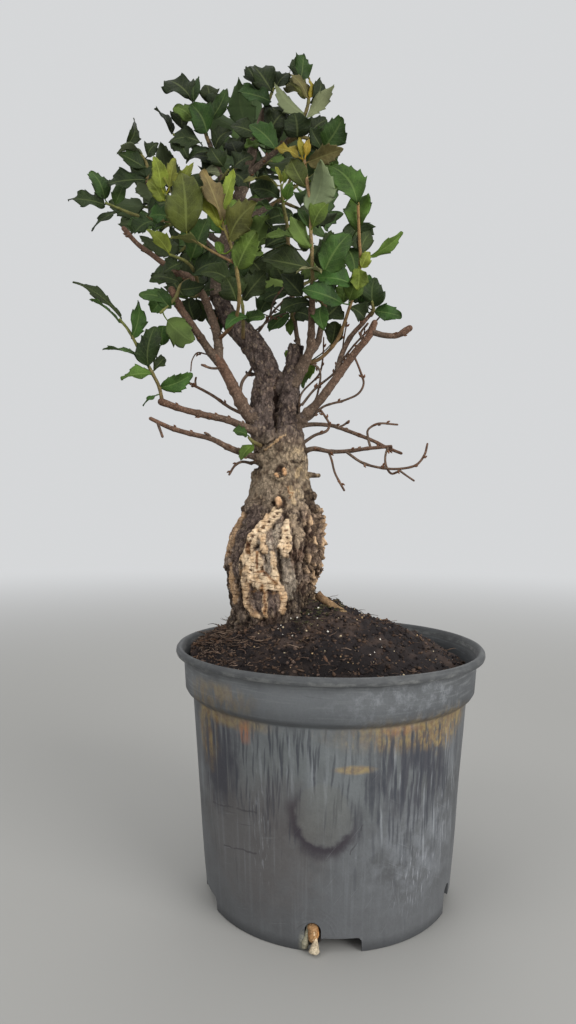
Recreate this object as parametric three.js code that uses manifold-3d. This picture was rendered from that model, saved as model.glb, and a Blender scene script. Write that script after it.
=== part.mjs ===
// A cork oak grown as a bonsai, with its nursery pot. Millimetres, +Z up.
// The origin is on the pot's axis, in the flat face that the pot stands on.
import * as THREE from 'three';
import { mergeVertices } from 'three/addons/utils/BufferGeometryUtils.js';
import Module from 'manifold-3d';

const wasm = await Module();
wasm.setup();

// Driving dimensions
const GAP = 0.35;
const POT_HEIGHT = 177;
const RIM_RADIUS = 112;
const RIM_INNER_RADIUS = 108;
const FOOT_RADIUS = 88.4;
const SHOULDER_RADIUS = 99.2;
const SHOULDER_HEIGHT = 143.6;
const WALL = 2;
const FLOOR_DISC_RADIUS = 64;
const CHANNEL_HEIGHT = 8;
const DRAIN_COUNT = 5;
const TRUNK_X = -41;
const POT_SIDES = 32;

// The plant was measured square on from the front, from an eye 535 mm in front of the pot's axis and
// 280 mm up. A point is written as [across, height, depth], where depth is real and the other two are
// as they look against the upright plane through the pot's axis.
const EYE_DISTANCE = 534.7;
const EYE_HEIGHT = 280;

function nearness(depth) {
  return 1 + depth / EYE_DISTANCE;
}

function spot([across, height, depth]) {
  const share = nearness(depth);
  return new THREE.Vector3(across * share, depth, EYE_HEIGHT + (height - EYE_HEIGHT) * share);
}

function material(colour, roughness) {
  return new THREE.MeshStandardMaterial({ color: colour, roughness, metalness: 0 });
}

const MATERIALS = {
  pot: material(0x5c6166, 0.55),
  mix: material(0x2a211c, 0.95),
  bark: material(0x6f6052, 0.9),
  twig: material(0x6b5348, 0.8),
  root: material(0x9a6a3c, 0.8),
  leaf: material(0x35502a, 0.5),
  youngLeaf: material(0x7d8a3c, 0.5),
};

// Solids

function toSolid(geometry) {
  const bare = geometry.clone();
  bare.deleteAttribute('normal');
  bare.deleteAttribute('uv');
  const merged = mergeVertices(bare, 1e-4);
  const vertProperties = new Float32Array(merged.attributes.position.array);
  const triVerts = new Uint32Array(merged.index.array);
  return new wasm.Manifold(new wasm.Mesh({ numProp: 3, vertProperties, triVerts }));
}

// Cuts can leave edges a few microns long, so corners that close are made one.
const CORNER_MERGE = 0.004;

function toGeometry(solid) {
  const mesh = solid.getMesh();
  const cut = new THREE.BufferGeometry();
  cut.setAttribute('position', new THREE.BufferAttribute(new Float32Array(mesh.vertProperties), 3));
  cut.setIndex(new THREE.BufferAttribute(new Uint32Array(mesh.triVerts), 1));
  const geometry = mergeVertices(cut, CORNER_MERGE);
  const corners = Array.from(geometry.index.array);
  const kept = [];
  for (let i = 0; i < corners.length; i += 3) {
    const [a, b, c] = corners.slice(i, i + 3);
    if (a !== b && b !== c && c !== a) {
      kept.push(a, b, c);
    }
  }
  geometry.setIndex(kept);
  geometry.computeVertexNormals();
  return geometry;
}

function join(solids) {
  return solids.reduce((all, next) => all.add(next));
}

function largestBody(solid) {
  const bodies = solid.decompose();
  return bodies.reduce((best, next) => (next.volume() > best.volume() ? next : best));
}

function boxesMeet(a, b) {
  return [0, 1, 2].every((k) => a.min[k] <= b.max[k] && b.min[k] <= a.max[k]);
}

// What is already in place, each piece with the clearance that its neighbours keep to it
const placed = [];

function claim(owner, grownSolid) {
  placed.push({ owner, solid: grownSolid, box: grownSolid.boundingBox() });
}

function clearOf(owner, solid) {
  const box = solid.boundingBox();
  return placed
    .filter((other) => other.owner !== owner && boxesMeet(box, other.box))
    .reduce((rest, other) => rest.subtract(other.solid), solid);
}

// A limb is a cylinder bent along a curve, with its thickness read from a list of radii.
function radiusAlong(radii, t) {
  const place = t * (radii.length - 1);
  const below = Math.min(Math.floor(place), radii.length - 2);
  return THREE.MathUtils.lerp(radii[below], radii[below + 1], place - below);
}

function bentCylinder(points, radii, sides, steps, grow = 0, bark = 0) {
  const curve = new THREE.CatmullRomCurve3(points, false, 'centripetal');
  const frames = curve.computeFrenetFrames(steps, false);
  const geometry = new THREE.CylinderGeometry(1, 1, 1, sides, steps);
  const position = geometry.attributes.position;
  for (let i = 0; i < position.count; i += 1) {
    const t = position.getY(i) + 0.5;
    const ring = Math.round(t * steps);
    const angle = Math.atan2(position.getX(i), position.getZ(i));
    const rough = 1 + bark * Math.sin(5 * angle + 2.1 * ring) * Math.sin(1.7 * ring + 2 * angle);
    const radius = radiusAlong(radii, t) * rough + grow;
    const centre = curve.getPoint(t);
    const past = (ring === steps ? grow : 0) - (ring === 0 ? grow : 0);
    centre.addScaledVector(frames.tangents[ring], past);
    centre.addScaledVector(frames.binormals[ring], position.getX(i) * radius);
    centre.addScaledVector(frames.normals[ring], position.getZ(i) * radius);
    position.setXYZ(i, centre.x, centre.y, centre.z);
  }
  return toSolid(geometry);
}

// A leaf is a three-sided cone pressed flat: its stalk, then a blade that widens and narrows to the tip.
// One side is the upper face, from margin to margin. The other two meet in the midrib below it.
const BLADE_RINGS = [
  { along: 0.0, width: 0.0 },
  { along: 0.34, width: 0.94 },
  { along: 0.76, width: 0.86 },
  { along: 1.0, width: 0.0 },
];
const STALK_RADIUS = 0.6;
const BLADE_THICKNESS = 0.7;
const LEAF_FOLD = 0.18;
const LEAF_ARCH = 0.1;

function leafAxes(base, tip, roll) {
  const along = tip.clone().sub(base);
  const length = along.length();
  along.normalize();
  const outward = new THREE.Vector3(0, -1, 0.35);
  const face = outward.addScaledVector(along, -outward.dot(along)).normalize();
  face.applyAxisAngle(along, THREE.MathUtils.degToRad(roll));
  const side = new THREE.Vector3().crossVectors(along, face);
  return { along, face, side, length };
}

// The corners of a ring, numbered out from the midrib: margins to either side, and with clearance around
// the blade each margin is an upright edge with a lower and an upper end.
function leafCorner(corner, halfWidth, grow) {
  const lift = halfWidth * LEAF_FOLD;
  if (corner === 0) {
    return { across: 0, up: -BLADE_THICKNESS - grow };
  }
  const rise = Math.abs(corner) > 1 ? grow : -grow;
  return { across: Math.sign(corner) * halfWidth, up: lift + rise };
}

function leafSolid(stalkFoot, base, tip, width, roll, grow = 0) {
  const { along, face, side, length } = leafAxes(base, tip, roll);
  const steps = BLADE_RINGS.length;
  const corners = grow > 0 ? 5 : 3;
  const geometry = new THREE.ConeGeometry(1, 1, corners, steps);
  const position = geometry.attributes.position;
  for (let i = 0; i < position.count; i += 1) {
    const ring = Math.round((position.getY(i) + 0.5) * steps);
    const centre = stalkFoot.clone();
    let halfWidth = STALK_RADIUS + grow;
    if (ring > 0) {
      const blade = BLADE_RINGS[ring - 1];
      const arch = LEAF_ARCH * length * 4 * blade.along * (1 - blade.along);
      centre.copy(base).addScaledVector(along, length * blade.along).addScaledVector(face, arch);
      halfWidth = Math.max(0.5 * width * blade.width, STALK_RADIUS) + 1.5 * grow;
    }
    if (ring === steps) {
      centre.addScaledVector(along, grow);
    } else if (Math.hypot(position.getX(i), position.getZ(i)) > 1e-6) {
      const turn = Math.atan2(position.getX(i), position.getZ(i)) / (2 * Math.PI);
      const { across, up } = leafCorner(Math.round(corners * turn), halfWidth, grow);
      centre.addScaledVector(side, -across);
      centre.addScaledVector(face, up);
    }
    position.setXYZ(i, centre.x, centre.y, centre.z);
  }
  return toSolid(geometry);
}

const bonsai = new THREE.Group();

function addPart(name, solid, look) {
  const mesh = new THREE.Mesh(toGeometry(solid), look);
  mesh.name = name;
  bonsai.add(mesh);
}

// Pot: a turned shell with a rolled rim and a collar below it. It stands on the middle of its floor and
// on a foot ring, with a raised channel between them.
const CHANNEL_SLOPE = 2.5;

function potProfile() {
  const innerFoot = FOOT_RADIUS - WALL;
  const profile = [
    [0, 0],
    [FLOOR_DISC_RADIUS, 0],
    [FLOOR_DISC_RADIUS + CHANNEL_SLOPE, CHANNEL_HEIGHT],
    [innerFoot - 0.5, CHANNEL_HEIGHT],
    [innerFoot - 0.8, 0],
    [FOOT_RADIUS, 0],
    [SHOULDER_RADIUS, SHOULDER_HEIGHT],
    [104.2, SHOULDER_HEIGHT + 5],
    [105.6, POT_HEIGHT - 9.5],
    [110.6, POT_HEIGHT - 9],
    [RIM_RADIUS, POT_HEIGHT - 4.5],
    [110.4, POT_HEIGHT],
    [RIM_INNER_RADIUS + 0.4, POT_HEIGHT],
    [103.2, POT_HEIGHT - 9],
    [101.8, SHOULDER_HEIGHT + 6],
    [SHOULDER_RADIUS - WALL, SHOULDER_HEIGHT - 1],
    [innerFoot + 0.6, CHANNEL_HEIGHT + WALL],
    [FLOOR_DISC_RADIUS + CHANNEL_SLOPE - WALL, CHANNEL_HEIGHT + WALL],
    [FLOOR_DISC_RADIUS - WALL, WALL],
    [0, WALL],
  ];
  return profile.map(([radius, height]) => new THREE.Vector2(radius, height));
}

function upright(geometry) {
  return geometry.rotateX(Math.PI / 2);
}

// Each drain is a tall arch through the corner of wall and floor, with a shallow notch beside it.
const ARCH_WIDTH = 17;
const ARCH_HEIGHT = 20;
const NOTCH_WIDTH = 22;
const NOTCH_HEIGHT = 9.5;
const DRAIN_ANGLE = THREE.MathUtils.degToRad(-97.4);
const NOTCH_ANGLE = THREE.MathUtils.degToRad(-84.9);
const DRAIN_REACH = 26;
const DRAIN_OUTSIDE = 10;

function drainCutter(width, height, angle, round) {
  const shape = new THREE.Shape();
  const half = width / 2;
  shape.moveTo(-half, -1);
  shape.lineTo(half, -1);
  if (round) {
    shape.lineTo(half, height - half);
    shape.absarc(0, height - half, half, 0, Math.PI, false);
  } else {
    shape.lineTo(half * 0.9, height);
    shape.lineTo(-half * 0.9, height);
  }
  const settings = { depth: DRAIN_REACH, bevelEnabled: false, curveSegments: 4 };
  const geometry = new THREE.ExtrudeGeometry(shape, settings);
  upright(geometry);
  geometry.translate(0, DRAIN_REACH - FOOT_RADIUS - DRAIN_OUTSIDE, 0);
  geometry.rotateZ(angle + Math.PI / 2);
  return toSolid(geometry);
}

function potSolid() {
  const turned = upright(new THREE.LatheGeometry(potProfile(), POT_SIDES));
  let pot = toSolid(turned);
  for (let k = 0; k < DRAIN_COUNT; k += 1) {
    const turn = (k * 2 * Math.PI) / DRAIN_COUNT;
    pot = pot.subtract(drainCutter(ARCH_WIDTH, ARCH_HEIGHT, DRAIN_ANGLE + turn, true));
    pot = pot.subtract(drainCutter(NOTCH_WIDTH, NOTCH_HEIGHT, NOTCH_ANGLE + turn, false));
  }
  return pot;
}

// Trunk: across, height and radius of the bulb and neck, then the two limbs
const TRUNK_RINGS = [
  [-42, 160, 33],
  [-41.5, 178, 36],
  [-41.5, 190, 35.5],
  [-41, 205, 34],
  [-43.5, 217, 35],
  [-43, 230, 36.2],
  [-40.5, 241, 37.6],
  [-39.3, 251, 37.4],
  [-37, 260, 34.5],
  [-36, 270, 31],
  [-36.5, 280, 26],
  [-37, 290, 22.2],
  [-36, 301, 20],
  [-34.6, 311, 17.8],
  [-37, 321, 18],
  [-39, 332, 17],
];
const LEFT_LIMB = {
  points: [
    [-46, 320, 0], [-50, 338, 0], [-50.5, 356, 0], [-47.5, 375, 0], [-54, 391, 0],
    [-65, 405, 2], [-77, 418, 5], [-84, 434, 8],
  ],
  radii: [12, 10.2, 9.3, 9.7, 8.8, 8, 7.2, 6.4],
};
const RIGHT_LIMB = {
  points: [[-34, 320, 0], [-32, 340, 0], [-32.5, 358, 0], [-31, 375, 0], [-28.4, 397, 0]],
  radii: [11, 9, 8.3, 6.4, 3.4],
};
const TRUNK_KNOBS = [
  { points: [[-48, 299, -3], [-58, 300, -4]], radii: [5.5, 3.6] },
  { points: [[-44, 310, 0], [-61, 309, -2]], radii: [3, 1.9] },
  { points: [[-22, 300.5, -2], [-8, 300.5, -4]], radii: [2.4, 1.9] },
  { points: [[-55, 276, -2], [-67.5, 274, -4]], radii: [7, 3.2] },
  { points: [[-38, 372, 6], [-64, 376, 10]], radii: [2.6, 1.7] },
];

function limb({ points, radii }, sides, steps, grow = 0, bark = 0) {
  return bentCylinder(points.map(spot), radii, sides, steps, grow, bark);
}

function trunkSolid(grow) {
  const bulb = {
    points: TRUNK_RINGS.map(([across, height]) => [across, height, 0]),
    radii: TRUNK_RINGS.map(([, , radius]) => radius),
  };
  const parts = [
    limb(bulb, 14, 14, grow, 0.05),
    limb(LEFT_LIMB, 8, 9, grow, 0.06),
    limb(RIGHT_LIMB, 8, 6, grow, 0.06),
    ...TRUNK_KNOBS.map((knob) => limb(knob, 5, 1, grow)),
  ];
  return join(parts);
}

// Potting mix: a filled cup whose top slopes from the foot of the trunk down to the pot's wall.
// Heights are given to the right, back, left and front of the trunk.
const MIX_AT_TRUNK = [216, 203, 189, 199];
const MIX_AT_WALL = [161, 170, 173, 165];
const TRUNK_SHARE = 0.14;
const MIX_RINGS = [0, TRUNK_SHARE, 0.32, 0.56, 0.8, 1];
const MIX_SIDES = 24;
const MIX_LUMP = 1.6;
const TRUNK_FOOT_RADIUS = 30;

function around(values, angle) {
  const place = THREE.MathUtils.euclideanModulo((angle / (2 * Math.PI)) * values.length, values.length);
  const first = Math.floor(place) % values.length;
  const share = place - Math.floor(place);
  const smooth = 0.5 - 0.5 * Math.cos(Math.PI * share);
  return THREE.MathUtils.lerp(values[first], values[(first + 1) % values.length], smooth);
}

function mixTop(angle, share) {
  if (share === 0) {
    return new THREE.Vector3(TRUNK_X, 0, MIX_AT_TRUNK[1]);
  }
  const wallRadius = RIM_INNER_RADIUS - 7;
  const along = TRUNK_X * Math.cos(angle);
  const toWall = Math.sqrt(wallRadius ** 2 - TRUNK_X ** 2 + along ** 2) - along;
  const run = (share - TRUNK_SHARE) / (1 - TRUNK_SHARE);
  const distance = THREE.MathUtils.lerp(TRUNK_FOOT_RADIUS, toWall, run);
  const fall = 0.1 * (1 - Math.exp(-12 * run)) + 0.65 * run + 0.25 * run ** 3;
  const height = THREE.MathUtils.lerp(around(MIX_AT_TRUNK, angle), around(MIX_AT_WALL, angle), fall);
  const lumps = MIX_LUMP * Math.sin(4 * angle + 5 * share) * Math.sin(7 * share + angle);
  const reach = new THREE.Vector3(Math.cos(angle), Math.sin(angle), 0).multiplyScalar(distance);
  return reach.add(new THREE.Vector3(TRUNK_X, 0, height + lumps));
}

// Below its top the mix follows the inside of the pot. The levels are marks on the unbent profile.
const MIX_LEVELS = { top: 3, neck: 2, channel: 1, disc: 0 };

function mixSolid() {
  const { top, neck, channel, disc } = MIX_LEVELS;
  const channelRadius = FOOT_RADIUS - WALL - 0.8;
  const neckRadius = SHOULDER_RADIUS - WALL - 0.9;
  const discRadius = FLOOR_DISC_RADIUS - WALL - 1;
  const discShare = discRadius / channelRadius;
  const ledgeShare = (discRadius + CHANNEL_SLOPE) / channelRadius;
  const profile = MIX_RINGS.map((share) => new THREE.Vector2(share, top));
  profile.push(new THREE.Vector2(1, neck), new THREE.Vector2(1, channel));
  profile.push(new THREE.Vector2(ledgeShare, channel), new THREE.Vector2(discShare, disc));
  profile.push(new THREE.Vector2(0, disc));
  const heights = [WALL + GAP, CHANNEL_HEIGHT + WALL + GAP, SHOULDER_HEIGHT - 2];
  const geometry = upright(new THREE.LatheGeometry(profile.reverse(), MIX_SIDES));
  const position = geometry.attributes.position;
  for (let i = 0; i < position.count; i += 1) {
    const angle = Math.atan2(position.getY(i), position.getX(i));
    const share = Math.min(1, Math.hypot(position.getX(i), position.getY(i)));
    const level = Math.round(position.getZ(i));
    let point = mixTop(angle, share < 1e-6 ? 0 : share);
    if (level < top) {
      const radius = share * (level === neck ? neckRadius : channelRadius);
      point = new THREE.Vector3(radius * Math.cos(angle), radius * Math.sin(angle), heights[level]);
    }
    position.setXYZ(i, point.x, point.y, point.z);
  }
  return toSolid(geometry);
}

// Roots: one curls out of the front drain, one runs over the mound
const DRAIN_ROOT = {
  places: [[-15, -72, 15], [-13.5, -82, 15.5], [-12.5, -89, 15], [-8.5, -92, 10], [-9.5, -92.5, 2.6]],
  radii: [1.8, 1.8, 1.8, 1.6, 1.9],
};
const SURFACE_ROOT = {
  points: [[-9, 212, -6], [-1, 206, -9], [8, 200.5, -10], [17, 195, -9], [26, 190, -8]],
  radii: [3, 2.6, 2.3, 2, 1.4],
};

// Bare branches and twigs. A branch may fork: each fork is one more limb grown from it.
const BRANCHES = {
  branch_left_tall: [
    {
      points: [
        [-52, 336, -4], [-63, 347, -8], [-70, 360, -9], [-78, 375, -9], [-85, 387, -9],
      ],
      radii: [4.6, 4.6, 4.2, 3.9, 3.9],
    },
    {
      points: [
        [-84, 384, -9], [-92, 394, -10], [-99, 404, -11], [-106, 414, -12], [-113, 424, -13],
        [-120, 438, -14],
      ],
      radii: [3.4, 3, 2.8, 2.7, 2.7, 2.6],
    },
    {
      points: [
        [-84, 385, -9], [-85, 402, -8], [-90, 419, -6], [-97, 435, -5], [-107, 447, -5],
        [-118, 452, -5], [-134, 463.5, -6], [-146, 472.5, -6], [-156.5, 484, -6],
      ],
      radii: [3.4, 3.3, 3, 2.8, 2.6, 2.3, 1.9, 1.7, 1.7],
    },
  ],
  branch_left_middle: [
    {
      points: [
        [-50, 331, -4], [-62, 335, -10], [-77, 341, -15], [-93, 344.5, -18], [-111, 349, -20],
        [-127, 354.5, -21],
      ],
      radii: [3.2, 3, 2.6, 2.4, 2.2, 2.7],
    },
  ],
  branch_left_low: [
    {
      points: [
        [-46, 311, -6], [-64, 316, -14], [-77, 321, -19], [-89, 327, -23], [-106, 331, -27],
        [-121, 335.5, -30], [-135, 342, -32],
      ],
      radii: [2.6, 2.3, 2.1, 1.9, 1.8, 1.7, 1.4],
    },
    { points: [[-130, 339.5, -31], [-128, 334, -33], [-126, 328.5, -34]], radii: [1, 0.9, 0.9] },
    { points: [[-89, 327, -23], [-91, 330, -25], [-94, 331.5, -26]], radii: [1, 0.9, 0.8] },
  ],
  twig_left_thin: [
    {
      points: [
        [-58, 343, 2], [-74, 349.5, 4], [-88, 359, 5], [-101, 366, 5], [-108, 369.5, 5],
      ],
      radii: [1.4, 1.2, 1.1, 1, 0.9],
    },
    { points: [[-101, 366, 5], [-101.5, 370, 5], [-101, 372.5, 5]], radii: [0.8, 0.8, 0.8] },
  ],
  twig_left_lowest: [
    {
      points: [
        [-59, 309, -2], [-66, 310, -5], [-71, 307.5, -6], [-75.5, 300.5, -6],
      ],
      radii: [1.1, 1, 0.9, 0.8],
    },
  ],
  twig_left_cross: [
    {
      points: [
        [-68, 362, -9], [-66, 370, -4], [-60, 378, 4], [-56, 388, 10], [-54, 400, 13],
      ],
      radii: [1.3, 1.2, 1.1, 1, 1],
    },
  ],
  branch_right_rising: [
    {
      points: [
        [-27, 334, -4], [-19, 345, -8], [-10, 354, -10], [-1, 366, -12], [9, 380, -13],
        [17, 391, -14], [27, 403, -15], [31, 412.5, -15],
      ],
      radii: [3.8, 3.5, 3.2, 3, 2.8, 2.6, 2.4, 2.3],
    },
    {
      points: [
        [29, 406, -15], [38, 403.5, -16], [48, 403.5, -17], [56.5, 408.5, -17],
      ],
      radii: [2.2, 2, 2, 2.3],
    },
    {
      points: [
        [4, 376, -12], [7.5, 390, -8], [14, 403, -5], [22, 412, -4], [29, 420, -4],
      ],
      radii: [2.2, 2, 1.8, 1.6, 1.3],
    },
    { points: [[23, 398, -15], [21, 405, -12], [26, 412, -10]], radii: [0.9, 0.9, 0.8] },
  ],
  branch_right_level: [
    {
      points: [
        [-20, 318, -4], [-13, 320, -8], [0, 318, -12], [13, 318.5, -15], [28, 320.5, -18],
        [44, 322, -20],
      ],
      radii: [1.9, 1.8, 1.5, 1.4, 1.3, 1.1],
    },
    {
      points: [
        [-2, 318.5, -11], [0.5, 312, -12], [3, 302.5, -13], [10, 289.5, -14],
      ],
      radii: [0.9, 0.8, 0.8, 0.8],
    },
    {
      points: [
        [11, 318, -15], [23, 310, -19], [35, 306.5, -22], [49, 305.5, -25], [62.5, 308.5, -27],
        [68.5, 316, -28], [70.5, 324, -28],
      ],
      radii: [1, 1, 0.9, 0.9, 0.8, 0.8, 0.7],
    },
    { points: [[49, 305.5, -25], [55, 301, -25], [61, 297, -25]], radii: [0.8, 0.7, 0.7] },
    {
      points: [
        [29, 321, -18], [27, 329, -17], [27, 334, -17], [34, 338.5, -17], [48.5, 338, -17],
      ],
      radii: [0.9, 0.9, 0.8, 0.8, 0.7],
    },
    {
      points: [
        [42, 322, -20], [40, 315, -21], [40.5, 308, -21], [44.5, 302, -21], [49.5, 303.5, -21],
      ],
      radii: [0.8, 0.8, 0.8, 0.8, 0.8],
    },
  ],
  branch_right_drooping: [
    {
      points: [
        [-22, 337, 4], [-14, 338, 6], [1.5, 337, 8], [9, 334.5, 8], [21, 330, 8], [31, 326, 8],
        [42.5, 320.5, 7], [51.5, 317, 6],
      ],
      radii: [1.8, 1.6, 1.5, 1.4, 1.4, 1.3, 1.2, 1.1],
    },
    { points: [[5, 336, 8], [9, 337.5, 8], [13, 340.5, 8]], radii: [0.8, 0.8, 0.8] },
  ],
  twig_right_hooked: [
    {
      points: [
        [-21, 324, -2], [-12, 330, -4], [-3, 333.5, -5], [-1.5, 338, -5], [-4, 343, -5],
        [-7.5, 348, -5],
      ],
      radii: [1.2, 1.1, 1, 0.9, 0.8, 0.8],
    },
  ],
  twig_right_arc: [
    {
      points: [
        [-21, 340, 2], [-16, 342, 2], [-6, 351, 0], [10, 356, -2], [20, 361, -3], [23.5, 368, -3],
        [21, 377, -3], [16.5, 388, -5],
      ],
      radii: [1.1, 1, 0.9, 0.8, 0.8, 0.8, 0.8, 0.8],
    },
  ],
  branch_centre: [
    {
      points: [
        [-29, 367, -2], [-22, 380, -5], [-16.5, 392, -8], [-15.5, 402, -12], [-15.3, 414, -17],
        [-15, 427, -24], [-14, 441, -33],
      ],
      radii: [4.6, 4.2, 3.2, 2.7, 2.4, 2.2, 2],
    },
    {
      points: [
        [-18, 388, -7], [-11, 398, -4], [-8.5, 408, -2], [-7, 419, -4], [-5, 430, -10],
      ],
      radii: [2.6, 2.4, 2.2, 2, 1.6],
    },
    {
      points: [
        [-22, 382, -4], [-25.5, 400, 2], [-28, 417, 6], [-30, 440, 4], [-33, 470, -6],
      ],
      radii: [2, 1.8, 1.6, 1.5, 1.4],
    },
    {
      points: [
        [-18, 385, -6], [-9, 378, -4], [-10, 362, -2], [-14, 350, 2],
      ],
      radii: [0.9, 0.8, 0.8, 0.8],
    },
  ],
  leader: [
    {
      points: [
        [-83.5, 431, 8], [-84, 448, 10], [-80, 470, 10], [-73, 495, 8], [-65, 522, 5],
        [-58, 547, 2], [-52, 569, 0],
      ],
      radii: [6.6, 6, 5.4, 4.8, 4.2, 3.2, 2.2],
    },
    {
      points: [
        [-73, 497, 8], [-62, 502, -2], [-50, 503, -14], [-41, 510, -24],
      ],
      radii: [3, 2.6, 2.2, 1.6],
    },
    { points: [[-75, 492, 8], [-82, 515, 4], [-88, 534, 0], [-93, 548, -3]], radii: [2.6, 2.3, 2, 1.7] },
    {
      points: [
        [-66, 520, 5], [-52, 532, 0], [-36, 545, -6], [-25, 558, -11],
      ],
      radii: [2.3, 2, 1.8, 1.5],
    },
    {
      points: [
        [-82, 460, 10], [-100, 478, 7], [-118, 495, 3], [-132, 509, 0], [-141, 520, -2],
      ],
      radii: [2.8, 2.5, 2.2, 1.9, 1.6],
    },
    { points: [[-80, 470, 10], [-97, 482, 32], [-112, 494, 52]], radii: [2.6, 2.2, 1.7] },
    { points: [[-76, 485, 9], [-56, 494, 34], [-36, 505, 55]], radii: [2.6, 2.2, 1.7] },
    { points: [[-68, 512, 6], [-68, 530, 30], [-66, 548, 48]], radii: [2.4, 2, 1.6] },
    { points: [[-84, 446, 10], [-72, 448, 38], [-58, 455, 62]], radii: [2.6, 2.2, 1.7] },
  ],
};

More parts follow.
